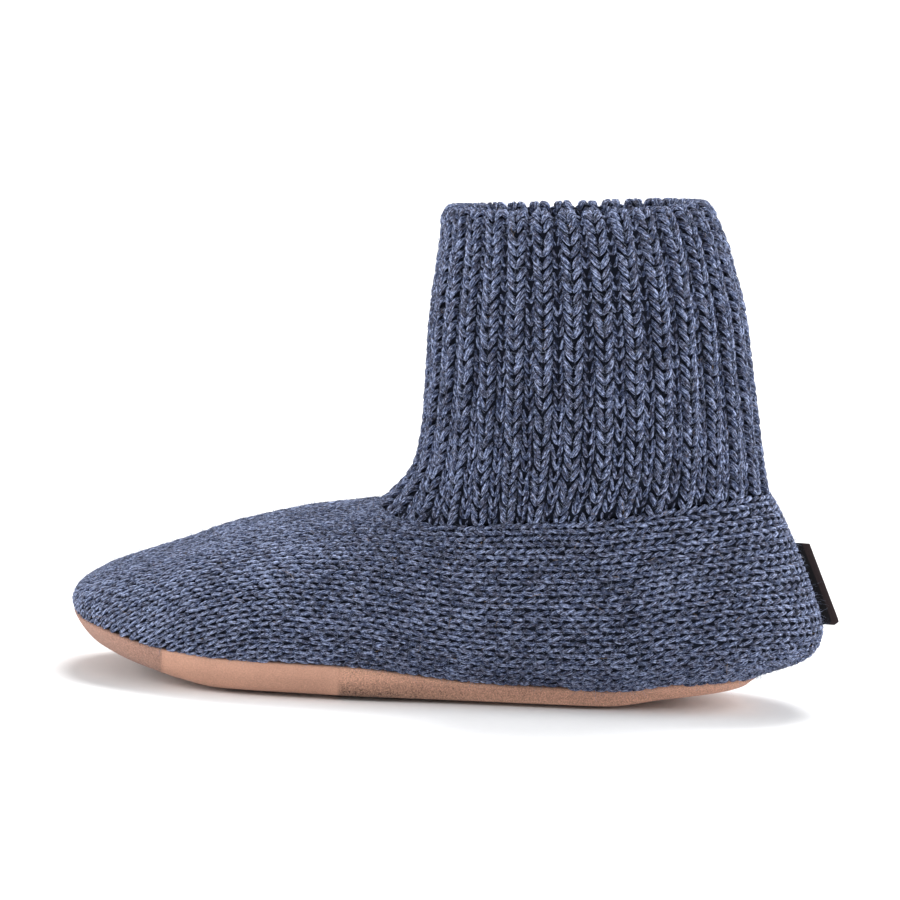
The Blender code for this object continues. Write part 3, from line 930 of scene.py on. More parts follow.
@dataclass(frozen=True)
class SleeveMap(FabricMap):
    """The stitch columns of the shaft: up its outer face, over the rim and down inside."""

    cloth: Cloth
    ribs: int = 32
    course_pitch: float = 0.00415
    sink: float = 0.0
    puff: float = 0.0016
    rise: float = 0.0015
    breadths: Run = Run(((0, 0.82), (8, 0.90), (15, 1.0), (24, 1.2), (31, 1.3)))
    sizes: Run = Run(((0, 1.04), (8, 1.04), (15, 1.05), (26, 1.18), (31, 1.25)))
    front_spread: Run = Run(((0, -0.23), (2, -0.06), (4, 0.08), (8, 0.14), (30, 0.14), (48, 0)))
    back_spread: Run = Run(((0, 0.10), (8, 0.14), (30, 0.14), (48, 0)))
    sinking: Run = Run(((-0.4, 0.8), (0.9, 0.2), (3, 0), (15, 1), (24, 0.9), (27, 0.4), (31, 0)))
    puffing: Run = Run(((24, 0), (29, 1), (34, 1), (38, 0)))
    rising: Run = Run(((23.5, 0), (25.2, 0.4), (26.6, 1), (27.6, 0.9), (30, 0)))

    def breadth(self, course: Array) -> Array:
        """How wide a stitch is at a course, against its usual width."""
        return self.breadths.at(course)

    def course_table(self) -> Array:
        """Course numbers at the surface's grid rows."""
        steps = np.linalg.norm(np.diff(self.cloth.points, axis=0), axis=-1).mean(axis=1)
        return np.concatenate([[0.0], np.cumsum(steps)]) / self.course_pitch

    def at(self, course: Array, wale: Array) -> tuple[Array, Array, Array]:
        """Points, normals and the local size of a stitch, at courses and columns of stitches.

        Args:
            course: Course numbers, which need not be whole.
            wale: Column numbers, the same.

        Returns:
            The points, the normals and the sizes against the usual one.
        """
        courses = self.course_table()
        row = np.interp(course, courses, np.arange(len(courses), dtype=float))
        columns = self.cloth.points.shape[1] - 1
        turn = np.asarray(wale) / self.ribs
        front, back = self.front_spread.at(course), self.back_spread.at(course)
        spread = np.where(np.cos(2 * np.pi * turn) > 0, front, back)
        around = (turn - spread * np.sin(4 * np.pi * turn) / (4 * np.pi)) % 1.0
        points, normals = self.cloth.at(row, around * columns)
        drop = self.sink * self.sinking.at(course)
        lift = (self.puff * self.puffing.at(course) - drop)[..., None]
        rise = self.rise * self.rising.at(course)
        points = points + normals * lift + UP * rise[..., None]
        return points, normals, self.sizes.at(course)


class Graph:
    """A material's nodes, built one after another."""

    def __init__(self, name: str) -> None:
        """Starts a material whose surface is a principled shader.

        Args:
            name: The material's name.
        """
        self.material = bpy.data.materials.new(name)
        self.material.use_nodes = True
        self.tree = self.material.node_tree
        self.shader = self.tree.nodes["Principled BSDF"]

    def node(self, kind: str, inputs: dict[int | str, object], **options: object) -> bpy.types.Node:
        """Adds a node.

        Args:
            kind: Its type, without the common start of the type's name.
            inputs: For each input, a value or the output that feeds it.
            **options: The node's own settings.

        Returns:
            The node.
        """
        node = self.tree.nodes.new("ShaderNode" + kind)
        for option, value in options.items():
            setattr(node, option, value)
        for key, value in inputs.items():
            self.feed(node.inputs[key], value)
        return node

    def feed(self, socket: bpy.types.NodeSocket, value: object) -> None:
        """Sets an input, or links an output to it.

        Args:
            socket: The input.
            value: Its value, or the output that feeds it.
        """
        if isinstance(value, bpy.types.NodeSocket):
            self.tree.links.new(value, socket)
        else:
            socket.default_value = value

    def ramp(self, source: object, stops: list[tuple[float, Colour]]) -> object:
        """A colour ramp's output.

        Args:
            source: The output that the ramp reads.
            stops: Places and colours along the ramp.

        Returns:
            The ramp's colour.
        """
        node = self.node("ValToRGB", {0: source})
        elements = node.color_ramp.elements
        while len(elements) < len(stops):
            elements.new(0.5)
        for element, (place, colour) in zip(elements, sorted(stops)):
            element.position = place
            element.color = (*colour, 1.0)
        return node.outputs[0]

    def math(self, operation: str, first: object, second: object = 0.0) -> object:
        """A sum, product or other operation on two values."""
        return self.node("Math", {0: first, 1: second}, operation=operation).outputs[0]

    def sum(self, first: object, second: object, share: object) -> object:
        """The first value plus a share of the second."""
        inputs = {0: second, 1: share, 2: first}
        return self.node("Math", inputs, operation="MULTIPLY_ADD").outputs[0]

    def total(self, first: tuple[object, float], *others: tuple[object, float]) -> object:
        """A sum of shares.

        Args:
            first: A value and its share.
            *others: More of them.

        Returns:
            The sum.
        """
        value = self.math("MULTIPLY", *first)
        for other, share in others:
            value = self.sum(value, other, share)
        return value

    def place(self) -> object:
        """The point in the piece's own frame."""
        return self.node("TexCoord", {}).outputs["Object"]

    def yarn(self) -> object:
        """The marks that the piece's mesh carries."""
        return self.node("Attribute", {}, attribute_name="yarn").outputs["Vector"]

    def part(self, vector: object, axis: int) -> object:
        """One of a vector's three numbers."""
        return self.node("SeparateXYZ", {0: vector}).outputs[axis]

    def ranged(
        self, value: object, span: tuple[float, float], result: tuple[float, float]
    ) -> object:
        """A value carried from one span to another, and held at its ends.

        Args:
            value: The value.
            span: The span it is read in.
            result: What the span's two ends become.

        Returns:
            The value carried over.
        """
        inputs = {0: value, 1: span[0], 2: span[1], 3: result[0], 4: result[1]}
        return self.node("MapRange", inputs).outputs[0]

    def mix(self, share: object, first: object, second: object) -> object:
        """A colour between two others."""
        inputs = {0: share, 6: first, 7: second}
        return self.node("Mix", inputs, data_type="RGBA").outputs[2]

    def scaled_by(self, colour: object, share: object) -> object:
        """A colour made brighter or darker by a share."""
        inputs = {0: colour, "Scale": share}
        return self.node("VectorMath", inputs, operation="SCALE").outputs[0]

    def noise(self, vector: object, scale: float, detail: float = 3.0) -> object:
        """A noise texture's grey value."""
        inputs = {"Vector": vector, "Scale": scale, "Detail": detail, "Roughness": 0.6}
        return self.node("TexNoise", inputs).outputs[0]

    def scaled(
        self, vector: object, scale: tuple[float, float, float], turn: float = 0.0
    ) -> object:
        """A vector stretched along its axes, after a turn about the third."""
        inputs = {"Vector": vector, "Rotation": (0.0, 0.0, turn), "Scale": scale}
        return self.node("Mapping", inputs).outputs[0]

    def bump(self, height: object, distance: float, strength: float = 1.0) -> object:
        """Relief of the surface from a grey value."""
        inputs = {"Height": height, "Distance": distance, "Strength": strength}
        return self.node("Bump", inputs).outputs[0]

    def finish(self, colour: object, normal: object, **values: object) -> bpy.types.Material:
        """Feeds the shader.

        Args:
            colour: Its base colour.
            normal: Its normal.
            **values: Values of further inputs, with _ for each space.

        Returns:
            The material.
        """
        self.feed(self.shader.inputs["Base Color"], colour)
        self.feed(self.shader.inputs["Normal"], normal)
        sockets = {socket.name.lower(): socket for socket in self.shader.inputs}
        for name, value in values.items():
            self.feed(sockets[name.replace("_", " ")], value)
        return self.material


@dataclass(frozen=True)
class WoolFinish:
    """Heathered yarn of twisted fibres in blues and violet greys, with painted shade in the stripes
    between its plies; towards the toe each leg also gets a painted highlight on its top and painted
    shade on its flanks.
    """

    deep: Colour = (0.005, 0.007, 0.016)
    blue: Colour = (0.050, 0.072, 0.163)
    grey: Colour = (0.076, 0.078, 0.132)
    pale: Colour = (0.44, 0.52, 0.78)
    tone_stops: tuple[float, float, float] = (0.48, 0.612, 0.735)
    patch_scale: float = 480.0
    patch_stops: tuple[float, float] = (0.44, 0.58)
    plies: float = 2.6
    twist: float = 1.5
    own_phase: float = 40.0
    fibre_phase: float = 3.0
    strand_scale: tuple[float, float, float] = (0.34, 5.0, 31.0)
    fibre_scale: float = 2.4
    heather_scale: float = 1000.0
    cloud_scale: float = 45.0
    fibre_share: float = 0.55
    heather_share: float = 0.50
    own_share: float = 0.08
    cloud_share: float = 0.08
    painted_ply_shade_share: float = 0.045
    relief_shares: tuple[float, float] = (0.4, 0.30)
    relief: float = 0.00035
    sheen: float = 0.05
    sheen_tint: tuple[float, float, float, float] = (0.55, 0.68, 1.0, 1.0)
    # Painted highlight and shade on the stitches towards the toe: each leg's top is lightened and
    # its flanks darkened, not at all at the first of these places along the foot and fully from the
    # second on towards the toe.
    painted_crown_highlight: float = 0.26
    painted_flank_split: float = 0.21
    painted_flank_shade_reach: tuple[float, float] = (-0.072, -0.115)

    def build(self, name: str) -> bpy.types.Material:
        """Makes the material.

        Args:
            name: The material's name.

        Returns:
            The material.
        """
        graph = Graph(name)
        yarn, place = graph.yarn(), graph.place()
        along, around, own = (graph.part(yarn, axis) for axis in range(3))
        fibre = graph.noise(graph.scaled(yarn, self.strand_scale), self.fibre_scale)
        heather = graph.noise(place, self.heather_scale)
        cloud = graph.noise(place, self.cloud_scale, 2.0)
        # The sine stripes below are partly real relief, through the bump, and partly painted shade
        # in the colour, dark between the plies.
        turns = (around, self.plies * 2 * math.pi), (along, self.twist)
        phase = graph.total(*turns, (own, self.own_phase), (fibre, self.fibre_phase))
        ply = graph.math("SINE", phase)
        tone = graph.total(
            (fibre, self.fibre_share),
            (heather, self.heather_share),
            (own, self.own_share),
            (cloud, self.cloud_share),
            (ply, self.painted_ply_shade_share),
        )
        # Painted highlight on the top of each leg and painted shade on its flanks, towards the toe.
        flank = graph.math("ABSOLUTE", graph.math("SUBTRACT", around, 0.5))
        painted_flank_shade_reach = graph.ranged(graph.part(place, 0), self.painted_flank_shade_reach, (0.0, self.painted_crown_highlight))
        tone = graph.sum(tone, graph.math("SUBTRACT", self.painted_flank_split, flank), painted_flank_shade_reach)
        patches = graph.noise(place, self.patch_scale, 2.0)
        blend = graph.ramp(patches, list(zip(self.patch_stops, (BLACK, WHITE))))
        shade, other = (
            graph.ramp(tone, list(zip(self.tone_stops, (self.deep, middle, self.pale))))
            for middle in (self.blue, self.grey)
        )
        fleck, turned = self.relief_shares
        height = graph.sum(graph.sum(fibre, heather, fleck), ply, turned)
        return graph.finish(
            graph.mix(blend, shade, other),
            graph.bump(height, self.relief),
            roughness=0.92,
            sheen_weight=self.sheen,
            sheen_roughness=0.5,
            sheen_tint=self.sheen_tint,
        )


@dataclass(frozen=True)
class PaintedShadeBackingFinish:
    """The reverse of the knit, with its purl bars, coloured far darker than the yarn as painted
    shade in the holes between the stitches.
    """

    # Painted shade: these colours are far darker than the yarn and stand for the shade in the holes
    # between the stitches; the purl bars are the fabric's own pattern.
    deep: Colour = (0.007, 0.009, 0.017)
    pale: Colour = (0.041, 0.049, 0.083)
    bar_scale: float = 0.628
    bar_distortion: float = 1.2
    heather_scale: float = 700.0
    relief: float = 0.0006

    def build(self, name: str) -> bpy.types.Material:
        """Makes the material.

        Args:
            name: The material's name.

        Returns:
            The material.
        """
        graph = Graph(name)
        waves = {
            "Vector": graph.yarn(),
            "Scale": self.bar_scale,
            "Distortion": self.bar_distortion,
        }
        bars = graph.node("TexWave", waves).outputs[1]
        heather = graph.noise(graph.place(), self.heather_scale, 4.0)
        tone = graph.math("MULTIPLY", graph.math("ADD", bars, heather), 0.5)
        colour = graph.ramp(tone, [(0.25, self.deep), (0.8, self.pale)])
        return graph.finish(
            colour, graph.bump(tone, self.relief), roughness=0.95, specular_ior_level=0.1
        )


@dataclass(frozen=True)
class SuedeFinish:
    """Napped suede in zones along the foot: a smooth one under the ball, grained ones beside it,
    with painted shade along its lower edge.
    """

    toe: Colour = (0.41, 0.230, 0.173)
    smooth: Colour = (0.60, 0.332, 0.235)
    waist: Colour = (0.66, 0.365, 0.255)
    heel: Colour = (0.62, 0.335, 0.240)
    span: tuple[float, float] = (-0.18, 0.08)
    first_line: float = -0.1385
    second_line: float = -0.0755
    cut: float = 0.001
    smoothness: float = 0.12
    fine_scale: float = 1900.0
    coarse_scale: float = 620.0
    cloud_scale: float = 55.0
    coarse_share: float = 0.6
    fine_relief: float = 0.25
    speckle: tuple[float, float] = (0.45, 1.3)
    cloud_share: float = 0.30
    # Painted shade low on the sole just behind the second line: darker below these heights, fading
    # out towards the heel.
    border: tuple[float, float] = (0.0030, 0.0080)
    painted_low_shade_depth: float = 0.55
    painted_low_shade_reach: float = 0.24
    # Painted shade along the whole lower edge: a little darker below these heights.
    low: tuple[float, float] = (0.006, 0.009)
    painted_bottom_shade_depth: float = 0.12
    grain: float = 0.0005

    def share(self, x: float) -> float:
        """How far along the sole's span a place lies."""
        start, end = self.span
        return (x - start) / (end - start)

    def stepped(
        self, first: Colour, second: Colour, third: Colour, last: Colour
    ) -> list[tuple[float, Colour]]:
        """Colour stops that change at the two lines across the sole.

        Args:
            first: The colour ahead of the first line.
            second: The colour between the lines.
            third: The colour just behind the second line.
            last: The colour at the far end.

        Returns:
            The stops.
        """
        one, two = self.share(self.first_line), self.share(self.second_line)
        stops = [(0.0, first), (one - self.cut, first), (one + self.cut, second)]
        return stops + [(two - self.cut, second), (two + self.cut, third), (1.0, last)]

    def build(self, name: str) -> bpy.types.Material:
        """Makes the material.

        Args:
            name: The material's name.

        Returns:
            The material.
        """
        graph = Graph(name)
        place = graph.place()
        reach = graph.ranged(graph.part(place, 0), self.span, (0.0, 1.0))
        zone = graph.ramp(reach, self.stepped(self.toe, self.smooth, self.waist, self.heel))
        rough = graph.ramp(reach, self.stepped(WHITE, (self.smoothness,) * 3, WHITE, WHITE))
        fine = graph.noise(place, self.fine_scale, 2.0)
        coarse = graph.noise(place, self.coarse_scale)
        cloud = graph.noise(place, self.cloud_scale)
        pitted = graph.math("MULTIPLY", graph.sum(fine, coarse, self.coarse_share), rough)
        height = graph.sum(pitted, fine, self.fine_relief)
        still, more = self.speckle
        spots = graph.math("SUBTRACT", fine, 0.5)
        shade = graph.math("MULTIPLY", spots, graph.sum(still, rough, more))
        shade = graph.sum(shade, graph.math("SUBTRACT", cloud, 0.5), self.cloud_share)
        shade = graph.math("ADD", shade, 1.0)
        z = graph.part(place, 2)
        # Painted shade: darker low on the sole just behind the second line, fading out towards the
        # heel.
        under = graph.ranged(z, self.border, (self.painted_low_shade_depth, 0.0))
        line = self.share(self.second_line)
        stops = [(line - self.cut, BLACK), (line + self.cut, WHITE)]
        stops.append((line + self.painted_low_shade_reach, BLACK))
        under = graph.math("MULTIPLY", under, graph.ramp(reach, stops))
        shade = graph.math("SUBTRACT", shade, under)
        # Painted shade: a little darker along the whole lower edge.
        shade = graph.math("SUBTRACT", shade, graph.ranged(z, self.low, (self.painted_bottom_shade_depth, 0.0)))
        colour = graph.scaled_by(zone, shade)
        bump = graph.bump(height, self.grain)
        return graph.finish(colour, bump, roughness=0.88, sheen_weight=0.1)


@dataclass(frozen=True)
class FeltFinish:
    """Pressed felt with short fibres."""

    dark: Colour = (0.11, 0.10, 0.10)
    light: Colour = (0.30, 0.28, 0.27)
    fibre_scale: float = 800.0
    cloud_scale: float = 90.0
    fibre_share: float = 0.7
    relief: float = 0.0005

    def build(self, name: str) -> bpy.types.Material:
        """Makes the material.

        Args:
            name: The material's name.

        Returns:
            The material.
        """
        graph = Graph(name)
        place = graph.place()
        fibres = graph.noise(graph.scaled(place, (1.0, 2.4, 1.0), 0.5), self.fibre_scale, 5.0)
        cloud = graph.noise(place, self.cloud_scale)
        tone = graph.total((fibres, self.fibre_share), (cloud, 1 - self.fibre_share))
        colour = graph.ramp(tone, [(0.3, self.dark), (0.75, self.light)])
        bump = graph.bump(fibres, self.relief)
        return graph.finish(colour, bump, roughness=0.95, sheen_weight=0.3)


@dataclass(frozen=True)
class TabFinish:
    """A bare woven tape in two tones."""

    inner: Colour = (0.0040, 0.0033, 0.0050)
    outer: Colour = (0.026, 0.016, 0.017)
    weave_scale: float = 900.0
    fleck_scale: float = 1500.0
    relief: float = 0.0001

    def build(self, name: str) -> bpy.types.Material:
        """Makes the material.

        Args:
            name: The material's name.

        Returns:
            The material.
        """
        graph = Graph(name)
        place = graph.place()
        share = graph.ranged(graph.part(graph.yarn(), 0), (-1.0, 1.0), (0.0, 1.0))
        bricks = {"Vector": place, "Scale": self.weave_scale}
        weave = graph.node("TexBrick", bricks).outputs[1]
        zone = graph.ramp(share, [(0.54, self.inner), (0.60, self.outer)])
        flecks = graph.math("MULTIPLY", graph.noise(place, self.fleck_scale), 0.8)
        colour = graph.scaled_by(zone, graph.math("ADD", flecks, 0.6))
        bump = graph.bump(weave, self.relief)
        return graph.finish(colour, bump, roughness=0.75, specular_ior_level=0.2)


@dataclass(frozen=True)
class FibreFinish:
    """Loose fibres: mostly pale blue-grey, some darker and a few tan."""

    pale: Colour = (0.24, 0.28, 0.40)
    dark: Colour = (0.05, 0.06, 0.09)
    tan: Colour = (0.36, 0.25, 0.16)

    def build(self, name: str) -> bpy.types.Material:
        """Makes the material.

        Args:
            name: The material's name.

        Returns:
            The material.
        """
        graph = Graph(name)
        stops = [(0.0, self.dark), (0.35, self.pale), (0.965, self.pale), (0.975, self.tan)]
        colour = graph.ramp(graph.part(graph.yarn(), 2), stops)
        graph.feed(graph.shader.inputs["Base Color"], colour)
        graph.feed(graph.shader.inputs["Roughness"], 0.8)
        return graph.material


@dataclass(frozen=True)
class KnitFoot:
    """The knitted foot: its stitches, and the fabric behind them closed round its edges."""

    form: FootForm
    wool: bpy.types.Material
    backing: bpy.types.Material
    behind: float = 0.0016
    wall: float = 0.0029
    shell_rows: int = 151
    shell_columns: int = 61
    hem: float = 3.0
    mark_size: float = 10.0
    seed: int = 11
    stitch: Stitch = Stitch(
        Table(
            "share along across depth width",
            (
                (0.00, -0.12, 0.07, -1.45, 0.36),
                (0.22, 0.10, 0.16, -0.80, 0.54),
                (0.50, 0.45, 0.25, -0.76, 0.58),
                (0.78, 0.80, 0.34, -1.10, 0.54),
                (1.00, 1.02, 0.41, -1.80, 0.36),
            ),
        ),
        lines=4,
        half_turn=110.0,
        wander=0.038,
        plies=((0.0, 0.04, 0.0), (0.12, -0.04, -0.10)),
    )

    def build(self) -> list[bpy.types.Object]:
        """The foot's pieces.

        Returns:
            The stitches of both sides and the fabric behind them.
        """
        pieces, shells = [], []
        for side in Side:
            cloth, lengths = self.form.side_cloth(side)
            place = FootMap(cloth, lengths)
            course, wale = place.stitches()
            legs = self.stitch.legs(place, course, wale, self.seed + side.value)
            pieces.append(legs.piece("foot_stitches_" + side.name.lower(), [self.wool]))
            shells.append(self.shell(cloth, place))
        pieces.append(Mesh.joined(shells).piece("foot_backing", [self.backing]))
        return pieces

    def shell(self, cloth: Cloth, place: FootMap) -> Mesh:
        """One side of the fabric behind the stitches, closed round its edges.

        Args:
            cloth: The side's surface.
            place: The side's stitch columns.

        Returns:
            The closed shell.
        """
        last_row, last_column = (count - 1 for count in cloth.points.shape[:2])
        rows = np.linspace(0, last_row, self.shell_rows)
        columns = np.linspace(0, last_column, self.shell_columns)
        row, column = np.meshgrid(rows, columns, indexing="ij")
        hemmed = np.minimum(column, last_column - self.hem)
        points, normals = cloth.at(np.maximum(row, self.hem), hemmed)
        low, high = place.edges(row / last_row)
        wale = low + (high - low) * column / last_column
        numbers, at_rows = place.course_table()
        courses = np.interp(row, at_rows, numbers)
        marks = stack(courses * self.mark_size, wale * self.mark_size, 0.0).transpose(1, 0, 2)
        front = (points - normals * self.behind).transpose(1, 0, 2)
        back = (points - normals * self.wall).transpose(1, 0, 2)
        sheet = np.concatenate([front, back[::-1]])
        return Mesh.sheet(sheet, np.concatenate([marks, marks[::-1]]), closed=True)


@dataclass(frozen=True)
class RibbedShaft:
    """The ribbed shaft: raised columns, recessed ones between them and the fabric behind."""

    form: ShaftForm
    wool: bpy.types.Material
    backing: bpy.types.Material
    sink: float = 0.0015
    first_course: float = -0.25
    rim_course: float = 31.0
    inside_course: float = 31.15
    inside_margin: float = 1.0
    seeds: tuple[int, int, int] = (31, 32, 33)
    shell_steps: int = 8
    skin: float = 0.0020
    furrow_depth: float = 0.0019
    inner_skin: float = 0.0009
    outside: Run = Run(((0, 1), (29, 1), (34, 0)))
    furrow: Run = Run(((0, 0.3), (10, 1), (24, 0.9), (30, 0)))
    mark_sizes: tuple[float, float] = (10.0, 20.0)
    crest: Stitch = Stitch(
        Table(
            "share along across depth width",
            (
                (0.00, -0.12, 0.030, -1.60, 0.40),
                (0.20, 0.06, 0.095, -0.72, 0.60),
                (0.48, 0.34, 0.170, -0.72, 0.66),
                (0.76, 0.62, 0.240, -1.35, 0.60),
                (1.00, 0.82, 0.285, -2.60, 0.40),
            ),
        ),
        steps=6,
        lines=4,
        half_turn=115.0,
        wander=0.05,
        sway=0.35,
        plies=((0.0, 0.004, 0.0), (0.19, -0.004, -0.04), (0.38, 0.008, -0.14)),
    )
    groove: Stitch = Stitch(
        Table(
            "share along across depth width",
            (
                (0.00, -0.12, 0.02, -2.60, 0.5),
                (0.30, 0.12, 0.08, -2.10, 0.74),
                (0.65, 0.56, 0.14, -2.15, 0.74),
                (1.00, 1.00, 0.19, -2.90, 0.5),
            ),
        ),
        steps=6,
        lines=5,
        half_turn=115.0,
        sway=0.3,
    )
    inside: Stitch = Stitch(
        Table(
            "share along across depth width",
            (
                (0.00, -0.2, 0.03, -0.9, 0.7),
                (0.25, 0.1, 0.10, -0.6, 1.3),
                (0.65, 0.65, 0.17, -0.7, 1.3),
                (1.00, 1.1, 0.22, -1.1, 0.7),
            ),
        ),
        steps=6,
        lines=5,
    )

    def build(self) -> list[bpy.types.Object]:
        """The shaft's pieces.

        Returns:
            The ribs, the columns between them, the inside and the fabric behind.
        """
        cloth = self.form.sleeve()
        place = SleeveMap(cloth)
        sunk = SleeveMap(cloth, sink=self.sink)
        last = place.course_table()[-1] - self.inside_margin
        rib = np.arange(self.form.ribs, dtype=float)
        over = np.arange(self.first_course, self.rim_course, 1.0)
        down = np.arange(self.inside_course, last, 1.0)
        knitted = (
            ("shaft_ribs", self.crest, place, over, rib + 0.5),
            ("shaft_grooves", self.groove, sunk, over, rib),
            ("shaft_inside", self.inside, place, down, rib + 0.5),
        )
        pieces = []
        for (name, stitch, where, courses, wales), seed in zip(knitted, self.seeds):
            course, wale = (grid.ravel() for grid in np.meshgrid(courses, wales))
            legs = stitch.legs(where, course, wale, seed)
            pieces.append(legs.piece(name, [self.wool]))
        pieces.append(self.shell(place).piece("shaft_backing", [self.backing]))
        return pieces

    def shell(self, place: SleeveMap) -> Mesh:
        """The fabric behind the ribs, deeper between them.

        Args:
            place: The shaft's stitch columns.

        Returns:
            The closed shell.
        """
        courses = place.course_table()[::2]
        wales = np.linspace(0, self.form.ribs, self.form.ribs * self.shell_steps + 1)
        course, wale = np.meshgrid(courses, wales, indexing="ij")
        points, normals, _ = place.at(course, wale)
        groove = (1 + np.cos(2 * np.pi * wale)) / 2
        outside = self.outside.at(course)
        depth = outside * (self.skin + self.furrow_depth * groove * self.furrow.at(course))
        depth = depth + (1 - outside) * self.inner_skin
        marks = stack(course * self.mark_sizes[0], wale * self.mark_sizes[1], 0.0)
        return Mesh.sheet(points - normals * depth[..., None], marks, closed=True)


@dataclass(frozen=True)
class SuedeSole:
    """The wrapped suede sole."""

    form: FootForm
    suede: bpy.types.Material
    thickness: float = 0.0021
    stations: int = 181
    cross: int = 13
    wrap: int = 15
    bulge_power: int = 4
    shape: Table = Table(
        "share full spread lift",
        (
            (0.00, 0.22, 0.0, 0.5),
            (0.12, 0.36, 0.0, 0.7),
            (0.35, 0.60, 0.5, 1.0),
            (0.48, 0.66, 5.0, 1.3),
            (0.60, 0.66, 6.0, 1.3),
            (0.76, 0.48, 1.0, 0.8),
            (1.00, 0.42, 0.0, 0.4),
        ),
    )

    def section(self, side: Side) -> Array:
        """Half of the sole's underside on one side: from its flat's edge up to the seam.

        Args:
            side: The side of the foot.

        Returns:
            The points, in rows from the flat's edge to the seam.
        """
        share = np.linspace(0, 1, self.stations)
        seam, leave = self.form.seam(share, side)
        lift = self.shape.at("lift", share, Fit.LEVEL) / MM
        edge = self.form.flat_edge(share, side) + UP * lift[:, None]
        if side is Side.OUTER:
            arch = self.form.floor_rows.at("outer_arch", share) * self.form.arch_rise
            spread = self.shape.at("spread", share, Fit.LEVEL) / MM
            edge = edge - UP * arch[:, None]
            edge = edge + self.form.outward(share, side) * spread[:, None]
        top = seam - leave * self.form.gap
        full = self.shape.at("full", share, Fit.LEVEL)[:, None]
        span = np.linalg.norm(top - edge, axis=-1, keepdims=True) * full
        ends = (edge, edge + self.form.outward(share, side) * span, top - leave * span, top)
        return np.array([bezier(ends, t) for t in np.linspace(0, 1, self.wrap)])

    def build(self) -> bpy.types.Object:
        """The sole's piece.

        Returns:
            The piece.
        """
        outer, inner = self.section(Side.OUTER), self.section(Side.INNER)
        steps = np.linspace(0, 1, self.cross)[1:-1, None, None]
        across = outer[0] + (inner[0] - outer[0]) * steps
        share = np.linspace(0, 1, self.stations)
        lift = self.shape.at("lift", share, Fit.LEVEL)[None, :, None] / MM
        across = across - UP * lift * (1 - (2 * steps - 1) ** self.bulge_power)
        under = np.concatenate([outer[::-1], across, inner])
        cloth = Cloth.of(under.transpose(1, 0, 2))
        down = np.sign(cloth.normals[self.stations // 2, under.shape[0] // 2, 2])
        normals = -cloth.normals * down
        normals[0] = normals[1]
        normals[-1] = normals[-2]
        upper = cloth.points - normals * self.thickness
        sheet = np.concatenate([cloth.points, upper[:, ::-1]], axis=1).transpose(1, 0, 2)
        piece = Mesh.sheet(sheet, sheet * MM, closed=True).piece("suede_sole", [self.suede])
        return piece


@dataclass(frozen=True)
class FeltInsole:
    """The thin pad on the sole."""

    form: FootForm
    felt: bpy.types.Material
    clearance: float = 0.002
    sole_thickness: float = 0.0022
    thickness: float = 0.0029
    stations: int = 121
    cross: int = 15
    edge_slope: float = 14.0
    edge_share: float = 0.15

    def build(self) -> bpy.types.Object:
        """The insole's piece, with its rounded edge.

        Returns:
            The piece.
        """
        share = np.linspace(0, 1, self.stations)
        sides = []
        for side in Side:
            lift = UP * (self.sole_thickness + self.form.gap)
            inset = self.form.outward(share, side) * self.clearance
            sides.append(self.form.flat_edge(share, side) - inset + lift)
        steps = np.linspace(0, 1, self.cross)
        bottom = np.array([sides[0] + (sides[1] - sides[0]) * step for step in steps])
        edge = np.minimum(steps, 1 - steps)[:, None]
        height = self.thickness * np.clip(edge * self.edge_slope, self.edge_share, 1) ** 0.5
        top = bottom + UP * height[..., None]
        ends = np.concatenate([bottom, top[::-1]])
        mesh = Mesh.sheet(ends, ends * MM, closed=True)
        piece = mesh.piece("felt_insole", [self.felt])
        return piece


@dataclass(frozen=True)
class HeelTab:
    """The bare folded tab in the back seam."""

    form: FootForm
    woven: bpy.types.Material
    top: float = 0.060
    length: float = 0.029
    reach: float = 0.0068
    tucked: float = 0.0020
    thickness: float = 0.0014
    corner: float = 0.0022
    levels: int = 25
    corners: int = 16
    taper: float = 0.7
    square: float = 1.25
    flat: float = 1.6
    curve_steps: int = 60

    def build(self) -> bpy.types.Object:
        """The tab's piece.

        Returns:
            The piece.
        """
        back = self.form.wall(np.array(1.0), Side.OUTER)
        along = np.linspace(0, 1, self.curve_steps)[:, None]
        curve = bezier(tuple(end[None] for end in back), along)
        heights = np.linspace(self.top, self.top - self.length, self.levels)
        share = np.linspace(0, 1, self.levels)
        seam = np.interp(heights, curve[:, 2], curve[:, 0])
        inner = seam - self.tucked * (1 - self.taper * share)
        outer = inner[0] + self.reach + (inner[-1] - inner[0]) * share
        drop = np.clip((heights[-1] + self.corner - heights) / self.corner, 0, 1)
        outer = outer - self.corner * (1 - np.sqrt(1 - drop**2))
        turn = np.linspace(0, 2 * np.pi, self.corners + 1)
        turn[-1] = 0.0
        across = np.clip(np.cos(turn) * self.square, -1, 1)
        thick = np.clip(np.sin(turn) * self.flat, -1, 1) * self.thickness / 2
        middle = ((inner + outer) / 2)[:, None]
        grid = stack(middle + across * (outer - inner)[:, None] / 2, thick, heights[:, None])
        centre = grid.mean(axis=1, keepdims=True) + 0 * grid[:1]
        sheet = np.concatenate([centre[:1], grid, centre[-1:]])
        marks = stack(across[None, :], np.linspace(0, 1, len(sheet))[:, None], 0.0)
        piece = Mesh.sheet(sheet, marks).piece("woven_tab", [self.woven])
        return piece


